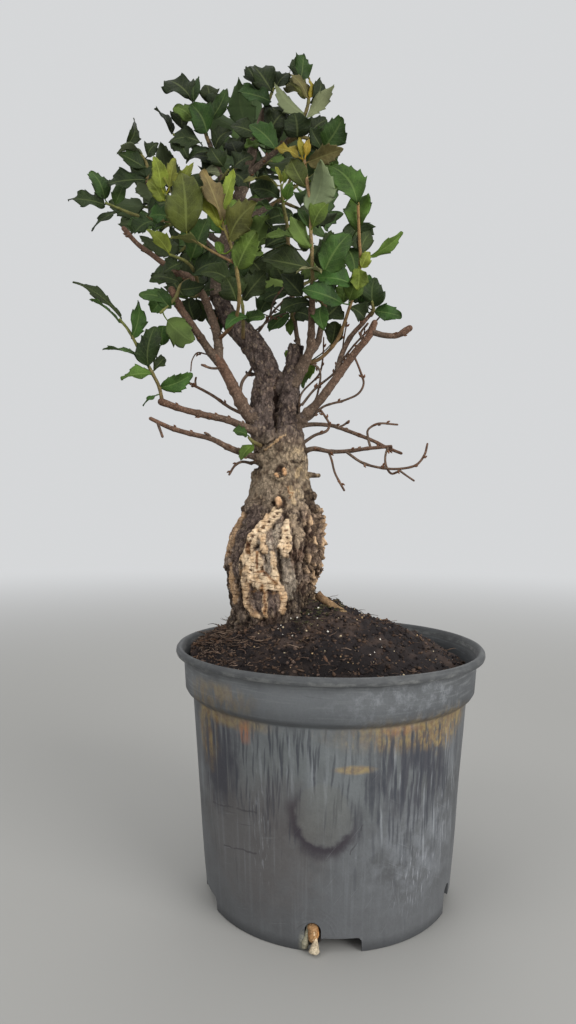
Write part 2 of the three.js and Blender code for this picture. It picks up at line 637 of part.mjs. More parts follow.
// Leafy shoots on the front and sides. Every leaf is
// [across, height, depth of its blade's foot, the same of its tip, blade width, roll].
const SHOOTS = {
  shoot_hero: {
    young: true,
    stem: [
      [-84, 401, -8], [-77, 408, -20], [-71, 418, -34], [-69, 437, -48], [-70.5, 448, -53],
      [-73, 462, -57], [-78, 477, -60], [-82, 486, -61],
    ],
    leaves: [
      [-84, 484, -61, -103, 516, -67, 16, 10],
      [-82, 488, -62, -97, 527, -68, 15, 38],
      [-83, 496, -61, -74.5, 525, -58, 10, 25],
      [-80, 486, -58, -71, 507, -52, 11, 10],
      [-77, 475, -61, -55, 501, -73, 22, 5],
      [-71, 453, -55, -57, 481, -62, 19, 0],
      [-83, 464, -56, -86, 474, -58, 7, 15],
    ],
    side: [[-72, 457, -55], [-84, 463, -59], [-96, 470, -62], [-108, 478, -63]],
    sideLeaves: [
      [-109, 480, -63, -114, 526, -72, 27, 0],
      [-97, 470, -62, -121, 477, -64, 10, 72],
    ],
  },
  shoot_centre: {
    young: true,
    stem: [
      [-14.5, 437, -31], [-15, 452, -42], [-15.5, 466, -48], [-16.5, 482, -52],
      [-16.5, 497, -55], [-19, 513, -56], [-21.5, 532, -56],
    ],
    leaves: [
      [-17, 468, -50, -33, 492, -60, 15, 180],
      [-18, 468, -48, -50, 483, -50, 11, 30],
      [-16, 453, -44, -53, 462, -42, 17, 0],
      [-8, 450, -46, -26, 454, -52, 10, 40],
      [-9, 453, -42, -1, 481, -40, 15, 0],
      [-6, 451, -46, 12, 480, -48, 20, 0],
      [-15, 483, -54, -4, 501, -58, 12, 10],
      [-18, 483, -52, -25, 498, -52, 10, 20],
      [-17, 495, -58, -8, 532, -70, 21, 180],
      [-21, 513, -55, -32, 533, -55, 15, 0],
      [-19, 531, -58, 7, 540, -64, 13, 50],
      [-25, 534, -57, -43, 543, -60, 10, 15],
      [-23.5, 535, -56, -26, 549, -57, 6, 10],
      [-21, 535, -57, -18.5, 549, -58, 5, 10],
    ],
  },
  shoot_right: {
    young: true,
    stem: [
      [-16, 383, -5], [-8, 387, -8], [3, 399, -14], [8, 410, -19], [12.5, 424, -25],
      [17, 438, -29], [20, 455, -31], [19, 478, -31], [18, 500, -31],
    ],
    leaves: [
      [7, 427, -34, -19, 440, -52, 18, 0],
      [14, 441, -34, -10, 448, -44, 16, 5],
      [12, 429, -29, 18, 448, -36, 13, 0],
      [19, 453, -33, 18.5, 437, -38, 12, 10],
      [21, 453, -32, 27, 465, -33, 8, 20],
      [20, 462, -29, 28, 479, -22, 11, 10],
      [27, 461, -29, 50.5, 479, -24, 10, 72],
      [17.5, 500, -33, -1, 531, -40, 21, 0],
      [18.5, 480, -29, 18, 504, -20, 20, 0],
      [13, 424, -24, 24, 416, -20, 12, 0],
    ],
  },
  shoot_top_right: {
    stem: [[-25, 557, -10], [-21, 567, -13], [-19, 578, -14], [-24, 591, -13]],
    leaves: [
      [-20, 578, -16, -33, 597, -22, 13, 20],
      [-18, 578, -15, -17.5, 593, -13, 9, 55],
      [-23, 566, -17, -44, 590, -27, 12, 200],
      [-18, 574, -13, -7, 592, -9, 11, 60],
      [-20, 563, -17, -1, 588, -25, 12, 190],
      [-25, 591, -13, -23, 611, -13, 13, 20],
    ],
  },
  shoot_right_upper: {
    stem: [[-34, 546, -7], [-26, 549, -12], [-16, 547, -15], [-8, 541, -17]],
    leaves: [
      [-7, 541, -19, 7, 562, -26, 20, 0],
      [-9, 541, -18, -18, 556, -24, 11, 0],
      [-18, 552, -15, -5, 563, -13, 11, 10],
      [-27, 549, -14, -29, 567, -22, 20, 0],
      [-12, 538, -16, -21, 547, -22, 9, 0],
    ],
  },
  shoot_top_middle: {
    stem: [[-52, 567, 0], [-49, 575, -2], [-45, 585, -4]],
    leaves: [
      [-46, 583, -5, -60, 602, -8, 20, 0],
      [-43, 586, -4, -33, 597, -4, 14, 5],
      [-47, 576, -6, -71, 584, -13, 17, 0],
      [-46, 572, -4, -40, 556, -14, 15, 0],
    ],
  },
  shoot_inner_top: {
    stem: [[-59, 543, 2], [-54, 548, -8], [-47, 544, -16]],
    leaves: [
      [-43, 541, -18, -60, 562, -27, 15, 0],
      [-56, 546, -12, -66, 542, -18, 8, 0],
      [-57, 552, -8, -76, 561, -13, 16, 0],
      [-48, 550, -12, -38, 569, -20, 16, 10],
    ],
  },
  shoot_top_left: {
    stem: [[-92.5, 546, -3], [-98, 560, -5], [-105, 574, -7]],
    leaves: [
      [-112, 583, -9, -127, 599, 5, 21, 15],
      [-104, 577, -7, -103.5, 598, -9, 13, -20],
      [-92, 562, -6, -79.5, 586, -10, 11, 25],
      [-94, 554, -8, -107, 575, -17, 18, 0],
      [-104, 562, -9, -118.5, 575, -14, 15, 10],
    ],
  },
  shoot_top_left_low: {
    stem: [[-90, 538, -1], [-104, 545, -4], [-119, 553, -3]],
    leaves: [
      [-120, 554, -3, -134, 572, 1, 12, 35],
      [-98, 546, -7, -122, 553, -14, 14, 0],
      [-88, 542, -4, -78, 557, -8, 13, 0],
      [-92, 540, -6, -110, 536, -14, 12, 10],
      [-118, 549, -6, -108, 534, -12, 12, 0],
    ],
  },
  shoot_upper_left: {
    stem: [[-140, 518, -2], [-139, 530, -3], [-145, 540, -4], [-154, 545, -4]],
    leaves: [
      [-154, 546, -4, -145.5, 566, -2, 12, 65],
      [-143, 540, -5, -162, 543, -9, 13, 50],
      [-139, 537, -5, -131.5, 548, -7, 10, 10],
      [-141, 529, -5, -161, 540, -10, 14, 0],
      [-140, 520, -4, -169, 517, -8, 14, 0],
    ],
  },
  shoot_far_left: {
    stem: [[-112, 488, 5], [-130, 490, 4], [-148, 494, 3], [-158, 498, 2], [-170, 503, 1]],
    leaves: [
      [-171, 506, 1, -182, 529, -3, 13, 10],
      [-171, 502, 1, -199, 505, -3, 15, 0],
      [-163, 502, 1, -156, 520, -3, 12, 10],
      [-159, 497, 2, -182, 484, -2, 11, 20],
      [-138, 494, 2, -124, 505, -4, 13, 0],
      [-134, 489, 2, -148, 480, -4, 13, 0],
    ],
  },
  shoot_young_left: {
    young: true,
    stem: [[-104, 482, 6], [-112, 490, -18], [-119, 499, -36], [-125, 509, -44]],
    leaves: [
      [-128, 513, -46, -134.5, 540, -50, 11, 5],
      [-122, 514, -46, -120.5, 538, -48, 10, -10],
      [-116, 508, -43, -103, 531, -46, 12, 0],
      [-127, 504, -42, -138, 521, -44, 11, 10],
      [-121, 492, -37, -137, 493, -41, 14, 0],
    ],
  },
  shoot_left_centre: {
    stem: [[-100, 438, -5], [-102, 449, -16], [-108, 458, -24], [-121, 464, -28]],
    leaves: [
      [-105, 461, -25, -97, 491, -36, 18, 0],
      [-122, 465, -29, -139, 483, -33, 12, 10],
      [-103, 450, -20, -78, 458, -32, 17, 0],
      [-112, 458, -24, -126, 450, -30, 12, 0],
    ],
  },
  shoot_left_side: {
    stem: [[-106, 446, -6], [-113, 441, -14], [-117, 432, -18], [-123, 426, -20], [-128, 421, -20]],
    leaves: [
      [-114, 444, -13, -136, 449, -12, 11, 0],
      [-113, 438, -16, -95, 441, -22, 12, 30],
      [-117, 427, -18, -144.5, 433, -20, 13, 10],
      [-120, 424, -19, -131, 437, -24, 9, -20],
      [-123, 415, -19, -103, 398, -18, 18, 190],
    ],
  },
  shoot_left_back: {
    stem: [[-98, 437, -4], [-101, 433, 4], [-106, 433, 10]],
    leaves: [
      [-108, 431, 12, -120, 448, 16, 17, 0],
      [-101, 431, 8, -97, 414, 14, 13, 0],
      [-107, 436, 12, -96, 452, 22, 14, 20],
    ],
  },
  shoot_left_end: {
    young: true,
    stem: [
      [-126, 353, -21], [-129, 366, -21], [-133, 374, -21], [-139, 385, -21], [-146, 397, -22],
      [-153, 409, -22], [-159, 416, -22],
    ],
    leaves: [
      [-159, 414, -22, -183, 430, -26, 12, 68],
      [-158, 418, -22, -196, 441, -20, 9, 40],
      [-150, 402, -22, -142, 431, -19, 14, 50],
      [-137, 381, -23, -133, 411, -30, 17, 0],
      [-145, 389, -21, -172, 392, -19, 11, 45],
      [-134, 375, -22, -158, 371, -27, 11, 10],
      [-133, 378, -20, -125, 389, -15, 8, 0],
      [-128, 365, -20, -104, 376, -13, 12, 50],
      [-130, 360, -22, -142, 353, -25, 6, 20],
    ],
  },
  shoot_front_low: {
    stem: [[-66, 402, -7], [-66, 414, -22], [-67, 428, -32], [-72, 440, -36]],
    leaves: [
      [-71, 429, -33, -79, 447, -42, 18, 0],
      [-66, 430, -33, -49, 450, -38, 17, 0],
      [-63, 417, -28, -79, 411, -44, 10, 10],
      [-64, 415, -26, -50, 418, -34, 10, 0],
      [-75, 443, -36, -98, 452, -40, 16, 10],
    ],
  },
  shoot_front_dark: {
    stem: [[-6, 426, -8], [-12, 431, -18], [-20, 432, -24]],
    leaves: [
      [-22, 432, -24, -38, 449, -30, 20, 0],
      [-17, 428, -24, -39, 420, -32, 12, 0],
      [-8, 425, -14, -7, 411, -24, 12, 10],
      [-10, 434, -18, 2, 442, -28, 15, 0],
    ],
  },
  shoot_thin_low: {
    stem: [[-28, 414, 6], [-30, 418, 0], [-29, 422, -5]],
    leaves: [
      [-33, 420, -2, -47, 408, -6, 13, 0],
      [-31, 416, -1, -32, 405, -4, 6, 20],
      [-27, 421, -4, -12, 412, -8, 13, 0],
    ],
  },
  shoot_middle_high: {
    young: true,
    stem: [[-32.8, 468, -5], [-34, 485, -17], [-37, 500, -26], [-38.5, 514, -31]],
    leaves: [
      [-34, 503, -30, -30, 517, -37, 9, 0],
      [-39, 516, -31, -43, 528, -33, 5, 20],
      [-37, 516, -32, -30, 531, -36, 5, 20],
      [-41, 514, -31, -66, 521, -36, 10, 60],
      [-37, 492, -22, -57, 500, -28, 14, 45],
      [-40, 505, -25, -61, 513, -28, 15, 0],
    ],
  },
  shoot_middle_dark: {
    stem: [[-82.5, 517, 4], [-82, 520, -6], [-78, 526, -12]],
    leaves: [
      [-80, 517, -8, -83, 500, -16, 14, 0],
      [-84, 524, -9, -97, 525, -14, 8, 0],
      [-82, 529, -12, -92, 543, -18, 13, 0],
      [-74, 528, -13, -62, 538, -18, 14, 0],
      [-76, 524, -13, -63, 514, -20, 15, 0],
    ],
  },
  shoot_right_low: {
    stem: [[28, 418, -4], [30, 422, -8], [29, 428, -12]],
    leaves: [
      [30, 424, -10, 31, 446, -16, 16, 0],
      [31, 421, -8, 51, 418, -10, 11, 15],
      [26, 424, -6, 14, 434, 4, 14, 10],
    ],
  },
  shoot_low_left: {
    stem: [[-52, 322, -12], [-58, 325, -18], [-61, 328, -20]],
    leaves: [
      [-58, 323, -18, -67, 311, -24, 10, 10],
      [-62, 330, -20, -73, 333, -24, 8, 20],
    ],
  },
  shoot_behind_stub: {
    young: true,
    stem: [[-28, 372, 5], [-22, 380, 12], [-15, 385, 14]],
    leaves: [
      [-13, 384, 14, -23, 365, 20, 11, 10],
      [-24, 381, 13, -34, 392, 18, 9, 10],
    ],
  },
};

// A stalk leaves its stem at the nearest place, and no two stalks leave it at the same one.
const FOOT_PLACES = 24;
const FOOT_STAGGER = 0.27;

function stalkFootOn(stem, base, order) {
  const curve = new THREE.CatmullRomCurve3(stem, false, 'centripetal');
  const shift = FOOT_STAGGER * (order % 4);
  let nearest = stem[0];
  for (let k = 3; k < FOOT_PLACES; k += 1) {
    const point = curve.getPoint((k + shift) / FOOT_PLACES);
    if (point.distanceTo(base) < nearest.distanceTo(base)) {
      nearest = point;
    }
  }
  return nearest;
}

// A grown stem with its leaves: the stems are set first, so that no leaf cuts a stem off.
const STEM_RADII = [1.3, 1.0];
const SIDE_STEM_RADII = [0.8, 0.7];
const STEM_SIDES = 4;

function shootStem({ stem, side }, grow) {
  const stems = [bentCylinder(stem.map(spot), STEM_RADII, STEM_SIDES, stem.length - 1, grow)];
  if (side) {
    stems.push(bentCylinder(side.map(spot), SIDE_STEM_RADII, STEM_SIDES, side.length - 1, grow));
  }
  return join(stems);
}

function leafRows({ stem, side, leaves, sideLeaves = [] }) {
  const onStem = leaves.map((row) => ({ row, stem: stem.map(spot) }));
  return onStem.concat(sideLeaves.map((row) => ({ row, stem: side.map(spot) })));
}

function placeLeaf(name, stem, [bx, bz, by, tx, tz, ty, width, roll], order) {
  const base = spot([bx, bz, by]);
  const tip = spot([tx, tz, ty]);
  const foot = stalkFootOn(stem, base, order);
  const trueWidth = width * nearness((by + ty) / 2);
  const leaf = clearOf(name, leafSolid(foot, base, tip, trueWidth, roll));
  claim(name, leafSolid(foot, base, tip, trueWidth, roll, GAP));
  return leaf;
}

// Shoots on the far side, worked out from where they leave the canopy: leaves spiral up each stem.
const BACK_SHOOTS = {
  shoot_back_left_low: { from: [-108, 491, 47], to: [-128, 484, 74], count: 6 },
  shoot_back_left_high: { from: [-110, 493, 50], to: [-126, 520, 72], count: 7 },
  shoot_back_right_low: { from: [-40, 503, 50], to: [-14, 492, 74], count: 6 },
  shoot_back_right_high: { from: [-38, 504, 53], to: [-26, 532, 72], count: 7 },
  shoot_back_top: { from: [-66, 545, 44], to: [-60, 552, 62], count: 6 },
  shoot_back_middle: { from: [-68, 531, 31], to: [-76, 524, 72], count: 7 },
  shoot_back_low: { from: [-61, 454, 57], to: [-52, 452, 84], count: 6 },
  shoot_back_low_left: { from: [-74, 447, 33], to: [-98, 452, 58], count: 6 },
  shoot_back_centre: { from: [-56, 494, 34], to: [-62, 486, 78], count: 7 },
  shoot_side_right: { from: [-46, 499, 44], to: [-14, 524, 34], count: 6 },
  shoot_side_left: { from: [-120, 497, 3], to: [-142, 500, 34], count: 6 },
  shoot_low_right: { from: [-29.8, 438, 4], to: [-10, 446, 34], count: 6 },
  shoot_mid_right: { from: [-64, 524, 4], to: [-46, 532, 26], count: 5 },
  shoot_mid_left: { from: [-100, 478, 7], to: [-114, 466, 24], count: 5 },
  shoot_mid_top: { from: [-57, 550, 2], to: [-68, 556, 22], count: 5 },
  shoot_mid_low: { from: [-83, 455, 10], to: [-64, 466, 24], count: 5 },
};
const GOLDEN_ANGLE = THREE.MathUtils.degToRad(137.5);
const FIRST_LEAF_SHARE = 0.35;
const STALK_LENGTH = 6;
const WIDTH_SHARE = 0.58;

function backLeaves({ from, to, count }, seed) {
  const start = spot(from);
  const end = spot(to);
  const axis = end.clone().sub(start).normalize();
  const level = new THREE.Vector3(0, 0, 1).addScaledVector(axis, -axis.z).normalize();
  const leaves = [];
  for (let k = 0; k < count; k += 1) {
    const share = FIRST_LEAF_SHARE + ((1 - FIRST_LEAF_SHARE) * (k + 0.5)) / count;
    const foot = start.clone().lerp(end, share);
    const spread = level.clone().applyAxisAngle(axis, GOLDEN_ANGLE * k + seed);
    const lean = 0.45 + 0.5 * share;
    const aim = spread.clone().multiplyScalar(1.1 - 0.6 * share).addScaledVector(axis, lean).normalize();
    const length = 27 + 7 * Math.sin(3.1 * k + seed);
    const base = foot.clone().addScaledVector(aim, STALK_LENGTH);
    const tip = base.clone().addScaledVector(aim, length);
    leaves.push({ foot, base, tip, width: length * WIDTH_SHARE });
  }
  return leaves;
}

const FACE_BACK = 180;

// Putting it together
addPart('nursery_pot', potSolid(), MATERIALS.pot);

const trunk = trunkSolid(0);
claim('trunk', trunkSolid(GAP));
addPart('trunk', largestBody(trunk), MATERIALS.bark);

function rootSolid({ places, radii }, grow) {
  const points = places.map((place) => new THREE.Vector3(...place));
  return bentCylinder(points, radii, 6, 6, grow);
}

addPart('drain_root', rootSolid(DRAIN_ROOT, 0), MATERIALS.root);
claim('drain_root', rootSolid(DRAIN_ROOT, GAP));
const surfaceRoot = clearOf('surface_root', limb(SURFACE_ROOT, 6, 5));
addPart('surface_root', largestBody(surfaceRoot), MATERIALS.bark);
claim('surface_root', limb(SURFACE_ROOT, 6, 5, GAP));
addPart('potting_mix', largestBody(clearOf('potting_mix', mixSolid())), MATERIALS.mix);

for (const [name, limbs] of Object.entries(BRANCHES)) {
  const sides = (radii) => (radii[0] > 3 ? 7 : 5);
  const branch = join(limbs.map((one) => limb(one, sides(one.radii), one.points.length - 1)));
  const grown = join(limbs.map((one) => limb(one, sides(one.radii), one.points.length - 1, GAP)));
  addPart(name, largestBody(clearOf(name, branch)), MATERIALS.twig);
  claim(name, grown);
}

const shoots = Object.entries(SHOOTS);
const backShoots = Object.entries(BACK_SHOOTS).map(([name, shoot]) => {
  const stem = [shoot.from, shoot.to];
  return [name, { ...shoot, stem }];
});
const stems = new Map();
for (const [name, shoot] of [...shoots, ...backShoots]) {
  stems.set(name, clearOf(name, shootStem(shoot, 0)));
  claim(name, shootStem(shoot, GAP));
}

for (const [name, shoot] of shoots) {
  const leaves = leafRows(shoot).map(({ row, stem }, order) => placeLeaf(name, stem, row, order));
  const whole = join([stems.get(name), ...leaves]);
  addPart(name, largestBody(whole), shoot.young ? MATERIALS.youngLeaf : MATERIALS.leaf);
}

backShoots.forEach(([name, shoot], seed) => {
  const leaves = backLeaves(shoot, seed).map(({ foot, base, tip, width }) => {
    const leaf = clearOf(name, leafSolid(foot, base, tip, width, FACE_BACK));
    claim(name, leafSolid(foot, base, tip, width, FACE_BACK, GAP));
    return leaf;
  });
  addPart(name, largestBody(join([stems.get(name), ...leaves])), MATERIALS.leaf);
});

export default bonsai;
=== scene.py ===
# %% [markdown]
# # A cork oak bonsai in its nursery pot
#
# This lesson builds a small cork oak that is being trained as a bonsai: a swollen trunk with furrowed
# corky bark, two limbs, bare twigs, shoots full of toothed leaves, and the plain plastic pot that it
# grows in. A solid model of the tree already exists, and it gives the place and size of every piece.
# Here each piece gets the surface that the eye expects: ridges, veins, crumbs, stains and scuffs.
# Everything is made by mesh code and by materials built from nodes, so there is no picture to load.

import math
import random

import bpy
import numpy as np
from mathutils import Matrix, Vector


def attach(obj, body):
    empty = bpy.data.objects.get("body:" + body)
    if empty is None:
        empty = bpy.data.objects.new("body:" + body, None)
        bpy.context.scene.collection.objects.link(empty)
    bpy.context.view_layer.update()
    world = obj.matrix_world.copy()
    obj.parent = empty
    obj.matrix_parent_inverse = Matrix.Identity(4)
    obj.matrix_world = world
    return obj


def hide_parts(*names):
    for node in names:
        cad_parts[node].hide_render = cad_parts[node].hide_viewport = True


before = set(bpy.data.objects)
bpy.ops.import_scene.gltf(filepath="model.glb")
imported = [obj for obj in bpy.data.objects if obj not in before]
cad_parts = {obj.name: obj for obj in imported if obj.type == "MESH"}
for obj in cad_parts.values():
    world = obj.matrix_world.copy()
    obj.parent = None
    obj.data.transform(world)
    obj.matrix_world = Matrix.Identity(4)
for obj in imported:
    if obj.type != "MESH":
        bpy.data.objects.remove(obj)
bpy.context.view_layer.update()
print("pieces in the packed model:", len(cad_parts))

# %% [markdown]
# ## Where the camera stands
#
# The tree was photographed from close by, with the lens level with the first branches. A close lens
# makes what stands nearer look larger, so the camera has to stand at the same distance as the
# photographer, or the pot's rim and the leaves would never line up. Its direction is given as three
# small turns: to the side, down, and a lean of half a degree.

# %% The camera
EYE_DISTANCE = 534.7
EYE_HEIGHT = 280.0
SIDE_TURN = -0.0586
DOWN_TURN = 0.013
LEAN = 0.0092
FOCAL_PIXELS = 721.97
LONG_SIDE_PIXELS = 1024

forward = Vector((
    math.sin(SIDE_TURN) * math.cos(DOWN_TURN),
    math.cos(SIDE_TURN) * math.cos(DOWN_TURN),
    -math.sin(DOWN_TURN),
))
level = forward.cross(Vector((0, 0, 1))).normalized()
above = level.cross(forward)
right = level * math.cos(LEAN) + above * math.sin(LEAN)
up = above * math.cos(LEAN) - level * math.sin(LEAN)

lens = bpy.data.cameras.new("camera")
lens.sensor_width = 36.0
lens.lens = lens.sensor_width * FOCAL_PIXELS / LONG_SIDE_PIXELS
lens.clip_start = 0.01
camera = bpy.data.objects.new("camera", lens)
bpy.context.scene.collection.objects.link(camera)
camera.matrix_world = Matrix((
    (right.x, up.x, -forward.x, 0.0),
    (right.y, up.y, -forward.y, -EYE_DISTANCE / 1000),
    (right.z, up.z, -forward.z, EYE_HEIGHT / 1000),
    (0.0, 0.0, 0.0, 1.0),
))
bpy.context.scene.camera = camera
print("lens in mm:", round(lens.lens, 2))

# %% [markdown]
# ## Measuring on an upright sheet
#
# The easiest way to write down where a twig goes is to lay an upright sheet of squared paper through
# the middle of the pot and read off how far across and how high it looks. Depth is added as a third
# number. What is nearer than the sheet has to be drawn in towards the lens, and `spot` does that.

# %% From the sheet to the room
def nearness(depth):
    return 1 + depth / EYE_DISTANCE


def spot(place):
    across, height, depth = place
    share = nearness(depth)
    return np.array([across * share, depth, EYE_HEIGHT + (height - EYE_HEIGHT) * share])


def spots(places):
    return np.array([spot(place) for place in places])


def on_sheet(points):
    """How far across and how high points in the room look on the upright sheet."""
    share = nearness(points[:, 1])
    return points[:, 0] / share, EYE_HEIGHT + (points[:, 2] - EYE_HEIGHT) / share


print("a leaf 60 mm in front of the sheet is drawn at", round(nearness(-60), 3), "of its size")

# %% [markdown]
# ## Roughness in numbers
#
# Bark, soil and leaves are never smooth. Two kinds of pattern are enough for all of them. `noise`
# gives soft hills and hollows of a chosen size. `plates` gives crazed cells, like dried mud, and says
# how far each point is from the nearest crack. Both work on whole lists of points at once, and a seed
# makes them come out the same each time.

# %% Soft noise and cracked plates
def scrambled(cells, seed):
    """A number from 0 to 1 for each whole-numbered cell, the same each time."""
    x, y, z = (cells[..., k].astype(np.int64) for k in range(3))
    mix = (x * 73856093) ^ (y * 19349663) ^ (z * 83492791) ^ (seed * 40503 + 977)
    mix = ((mix ^ (mix >> 13)) * 1274126177) & 0xFFFFFFFF
    mix = ((mix ^ (mix >> 15)) * 668265263) & 0xFFFFFFFF
    return ((mix ^ (mix >> 16)) & 0xFFFFFF) / 0xFFFFFF


def noise(points, size, seed=0):
    """Hills and hollows from -1 to 1, with about size from one to the next."""
    place = np.asarray(points, float) / size
    cell = np.floor(place)
    part = place - cell
    part = part * part * (3 - 2 * part)
    total = 0.0
    for corner in range(8):
        step = np.array([corner & 1, (corner >> 1) & 1, (corner >> 2) & 1])
        weight = np.prod(np.where(step, part, 1 - part), axis=-1)
        total = total + weight * scrambled(cell + step, seed)
    return 2 * total - 1


def layers(points, size, count, seed=0):
    """Noise on noise: each layer is half as large and half as strong as the one before."""
    total, strength = 0.0, 1.0
    for k in range(count):
        total = total + strength * noise(points, size / 2**k, seed + 17 * k)
        strength *= 0.5
    return total / 1.6


def plates(points, size, seed=0):
    """Distance to the nearest crack, in shares of a plate, and a number from 0 to 1 for each plate."""
    place = np.asarray(points, float) / size
    cell = np.floor(place)
    nearest = np.full(len(place), 9.0)
    second = np.full(len(place), 9.0)
    name = np.zeros(len(place))
    for corner in range(27):
        step = np.array([corner % 3 - 1, corner // 3 % 3 - 1, corner // 9 - 1])
        other = cell + step
        seeds = np.stack([scrambled(other, seed + k) for k in range(3)], axis=-1)
        gap = np.linalg.norm(other + seeds - place, axis=-1)
        closer = gap < nearest
        second = np.where(closer, nearest, np.minimum(second, gap))
        name = np.where(closer, seeds[:, 0], name)
        nearest = np.where(closer, gap, nearest)
    return second - nearest, name


def ease(value, low, high):
    """0 up to low, 1 from high, and a smooth rise between."""
    share = np.clip((value - low) / (high - low), 0, 1)
    return share * share * (3 - 2 * share)


print("noise at the origin:", round(float(noise([[0.3, 0.2, 0.1]], 1.0)[0]), 3))

# %% [markdown]
# ## Gathering one piece
#
# A shoot is made of a stem and a dozen leaves, but it moves and is stored as one piece. `Pile` gathers
# the parts: their corners, their faces, a colour for each corner, and where each part goes on the flat
# map that a game engine would paint. Each part is a small rectangle of faces, rows by columns, so its
# piece of the map is a rectangle too, and all rectangles are laid side by side on shelves.

# %% A pile of parts
def colour(red, green, blue):
    """A colour as it looks on a screen, 0 to 255, as the amount of light that it means."""
    return tuple((part / 255) ** 2.2 for part in (red, green, blue))


def grid_faces(rows, columns, closed):
    """The four corners of each face of a grid, row by row. A closed grid joins its last column to its first."""
    row, column = np.meshgrid(np.arange(rows - 1), np.arange(columns if closed else columns - 1), indexing="ij")
    row, column = row.ravel(), column.ravel()
    following = (column + 1) % columns
    faces = np.stack([row * columns + column, row * columns + following,
                      (row + 1) * columns + following, (row + 1) * columns + column], axis=1)
    last = columns if closed else columns - 1
    steps = ((0, 0), (1, 0), (1, 1), (0, 1))
    corners = np.stack([np.stack([column + dc, row + dr], axis=1) for dc, dr in steps], axis=1)
    return faces, corners / np.array([last, rows - 1])


def closing_faces(rows, angle, size, mirrored=False):
    """The two faces that close a grid's ends, each with a small round place in a corner of the map."""
    dial = np.stack([0.5 + 0.5 * np.cos(angle), 0.5 + 0.5 * np.sin(angle)], axis=1)[None] * size
    first, last = np.arange(len(angle))[::-1], np.arange((rows - 1) * len(angle), rows * len(angle))
    return [(first[None], dial[:, ::-1] if mirrored else dial), (last[None], dial + 0.98)]


class Pile:
    def __init__(self):
        self.points, self.faces, self.tints, self.finishes, self.blades, self.charts = [], [], [], [], [], []
        self.count = 0

    def add(self, points, groups, size, tint, finish=0, blade=None, upper=1.0):
        """Adds a part. groups holds pairs: faces with the same number of corners, and where those
        corners lie in the part's own rectangle, which is size mm wide and high. tint is one colour, or
        one for each point. upper says which faces are a leaf's upper side."""
        points = np.asarray(points, float)
        tint = np.broadcast_to(np.asarray(tint, float), (len(points), 3))
        blade = np.zeros((len(points), 2)) if blade is None else blade
        self.points.append(points)
        for faces, corners in groups:
            faces = np.asarray(faces)
            side = np.broadcast_to(np.reshape(upper if faces.shape[1] == 4 else 1.0, (-1, 1, 1)), (*faces.shape, 1))
            self.tints.append(np.concatenate([tint[faces], side], axis=2).reshape(-1, 4))
            self.blades.append(blade[faces].reshape(-1, 2))
            self.faces += (faces + self.count).tolist()
            self.finishes += [finish] * len(faces)
        self.charts.append((np.concatenate([np.reshape(corners, (-1, 2)) for _, corners in groups]), size))
        self.count += len(points)

    def shelves(self):
        """Every face corner's place on the map, with the rectangles laid out shelf by shelf."""
        sizes = [size for _, size in self.charts]
        width = max([math.sqrt(sum((w + 1) * (h + 1) for w, h in sizes)) * 1.08] + [w + 1 for w, _ in sizes])
        x = y = shelf = 0.0
        place = {}
        for k in sorted(range(len(sizes)), key=lambda k: -sizes[k][1]):
            w, h = sizes[k]
            if x + w + 1 > width:
                x, y, shelf = 0.0, y + shelf, 0.0
            place[k] = (x + 0.5, y + 0.5)
            x, shelf = x + w + 1, max(shelf, h + 1)
        side = max(width, y + shelf)
        return np.concatenate([(corners * size + place[k]) / side for k, (corners, size) in enumerate(self.charts)])


def to_scene(name, points, faces, materials, finishes=None):
    """A mesh object in metres from points in mm."""
    mesh = bpy.data.meshes.new(name)
    mesh.from_pydata((np.asarray(points) / 1000).tolist(), [], faces)
    for material in materials:
        mesh.materials.append(material)
    if finishes is not None:
        mesh.polygons.foreach_set("material_index", np.asarray(finishes, np.int32))
    mesh.polygons.foreach_set("use_smooth", np.full(len(mesh.polygons), True))
    piece = bpy.data.objects.new(name, mesh)
    bpy.context.scene.collection.objects.link(piece)
    return piece


def settle(piece, nodes):
    """The piece rides with the tree and stands for its solids."""
    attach(piece, "root")
    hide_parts(*nodes)
    triangles = sum(len(face.vertices) - 2 for face in piece.data.polygons)
    print(f"{piece.name}: {triangles} triangles")


def paint_corners(mesh, tints):
    mesh.color_attributes.new(name="tint", type="FLOAT_COLOR", domain="CORNER")
    mesh.color_attributes["tint"].data.foreach_set("color", np.asarray(tints, np.float32).ravel())


def lay_map(mesh, name, places):
    layer = mesh.uv_layers.new(name=name, do_init=False)
    layer.uv.foreach_set("vector", np.asarray(places, np.float32).ravel())


def build(pile, name, materials, nodes):
    """Turns a pile into a finished piece."""
    piece = to_scene(name, np.concatenate(pile.points), pile.faces, materials, pile.finishes)
    lay_map(piece.data, "OFBake", pile.shelves())
    lay_map(piece.data, "blade", np.concatenate(pile.blades))
    paint_corners(piece.data, np.concatenate(pile.tints))
    settle(piece, nodes)
    return piece


print("a grid of 3 by 4 corners has", len(grid_faces(3, 4, False)[0]), "faces")

# %% [markdown]
# ## Sweeping a twig
#
# A twig is a circle carried along a bent line, a little rough, swollen where buds sit, and rounded at
# its tip. Blender's curves can be bevelled into tubes, but then every ring is the same. Making the
# rings ourselves lets the bark be rough, the base flare where it leaves its parent, and the tip close.

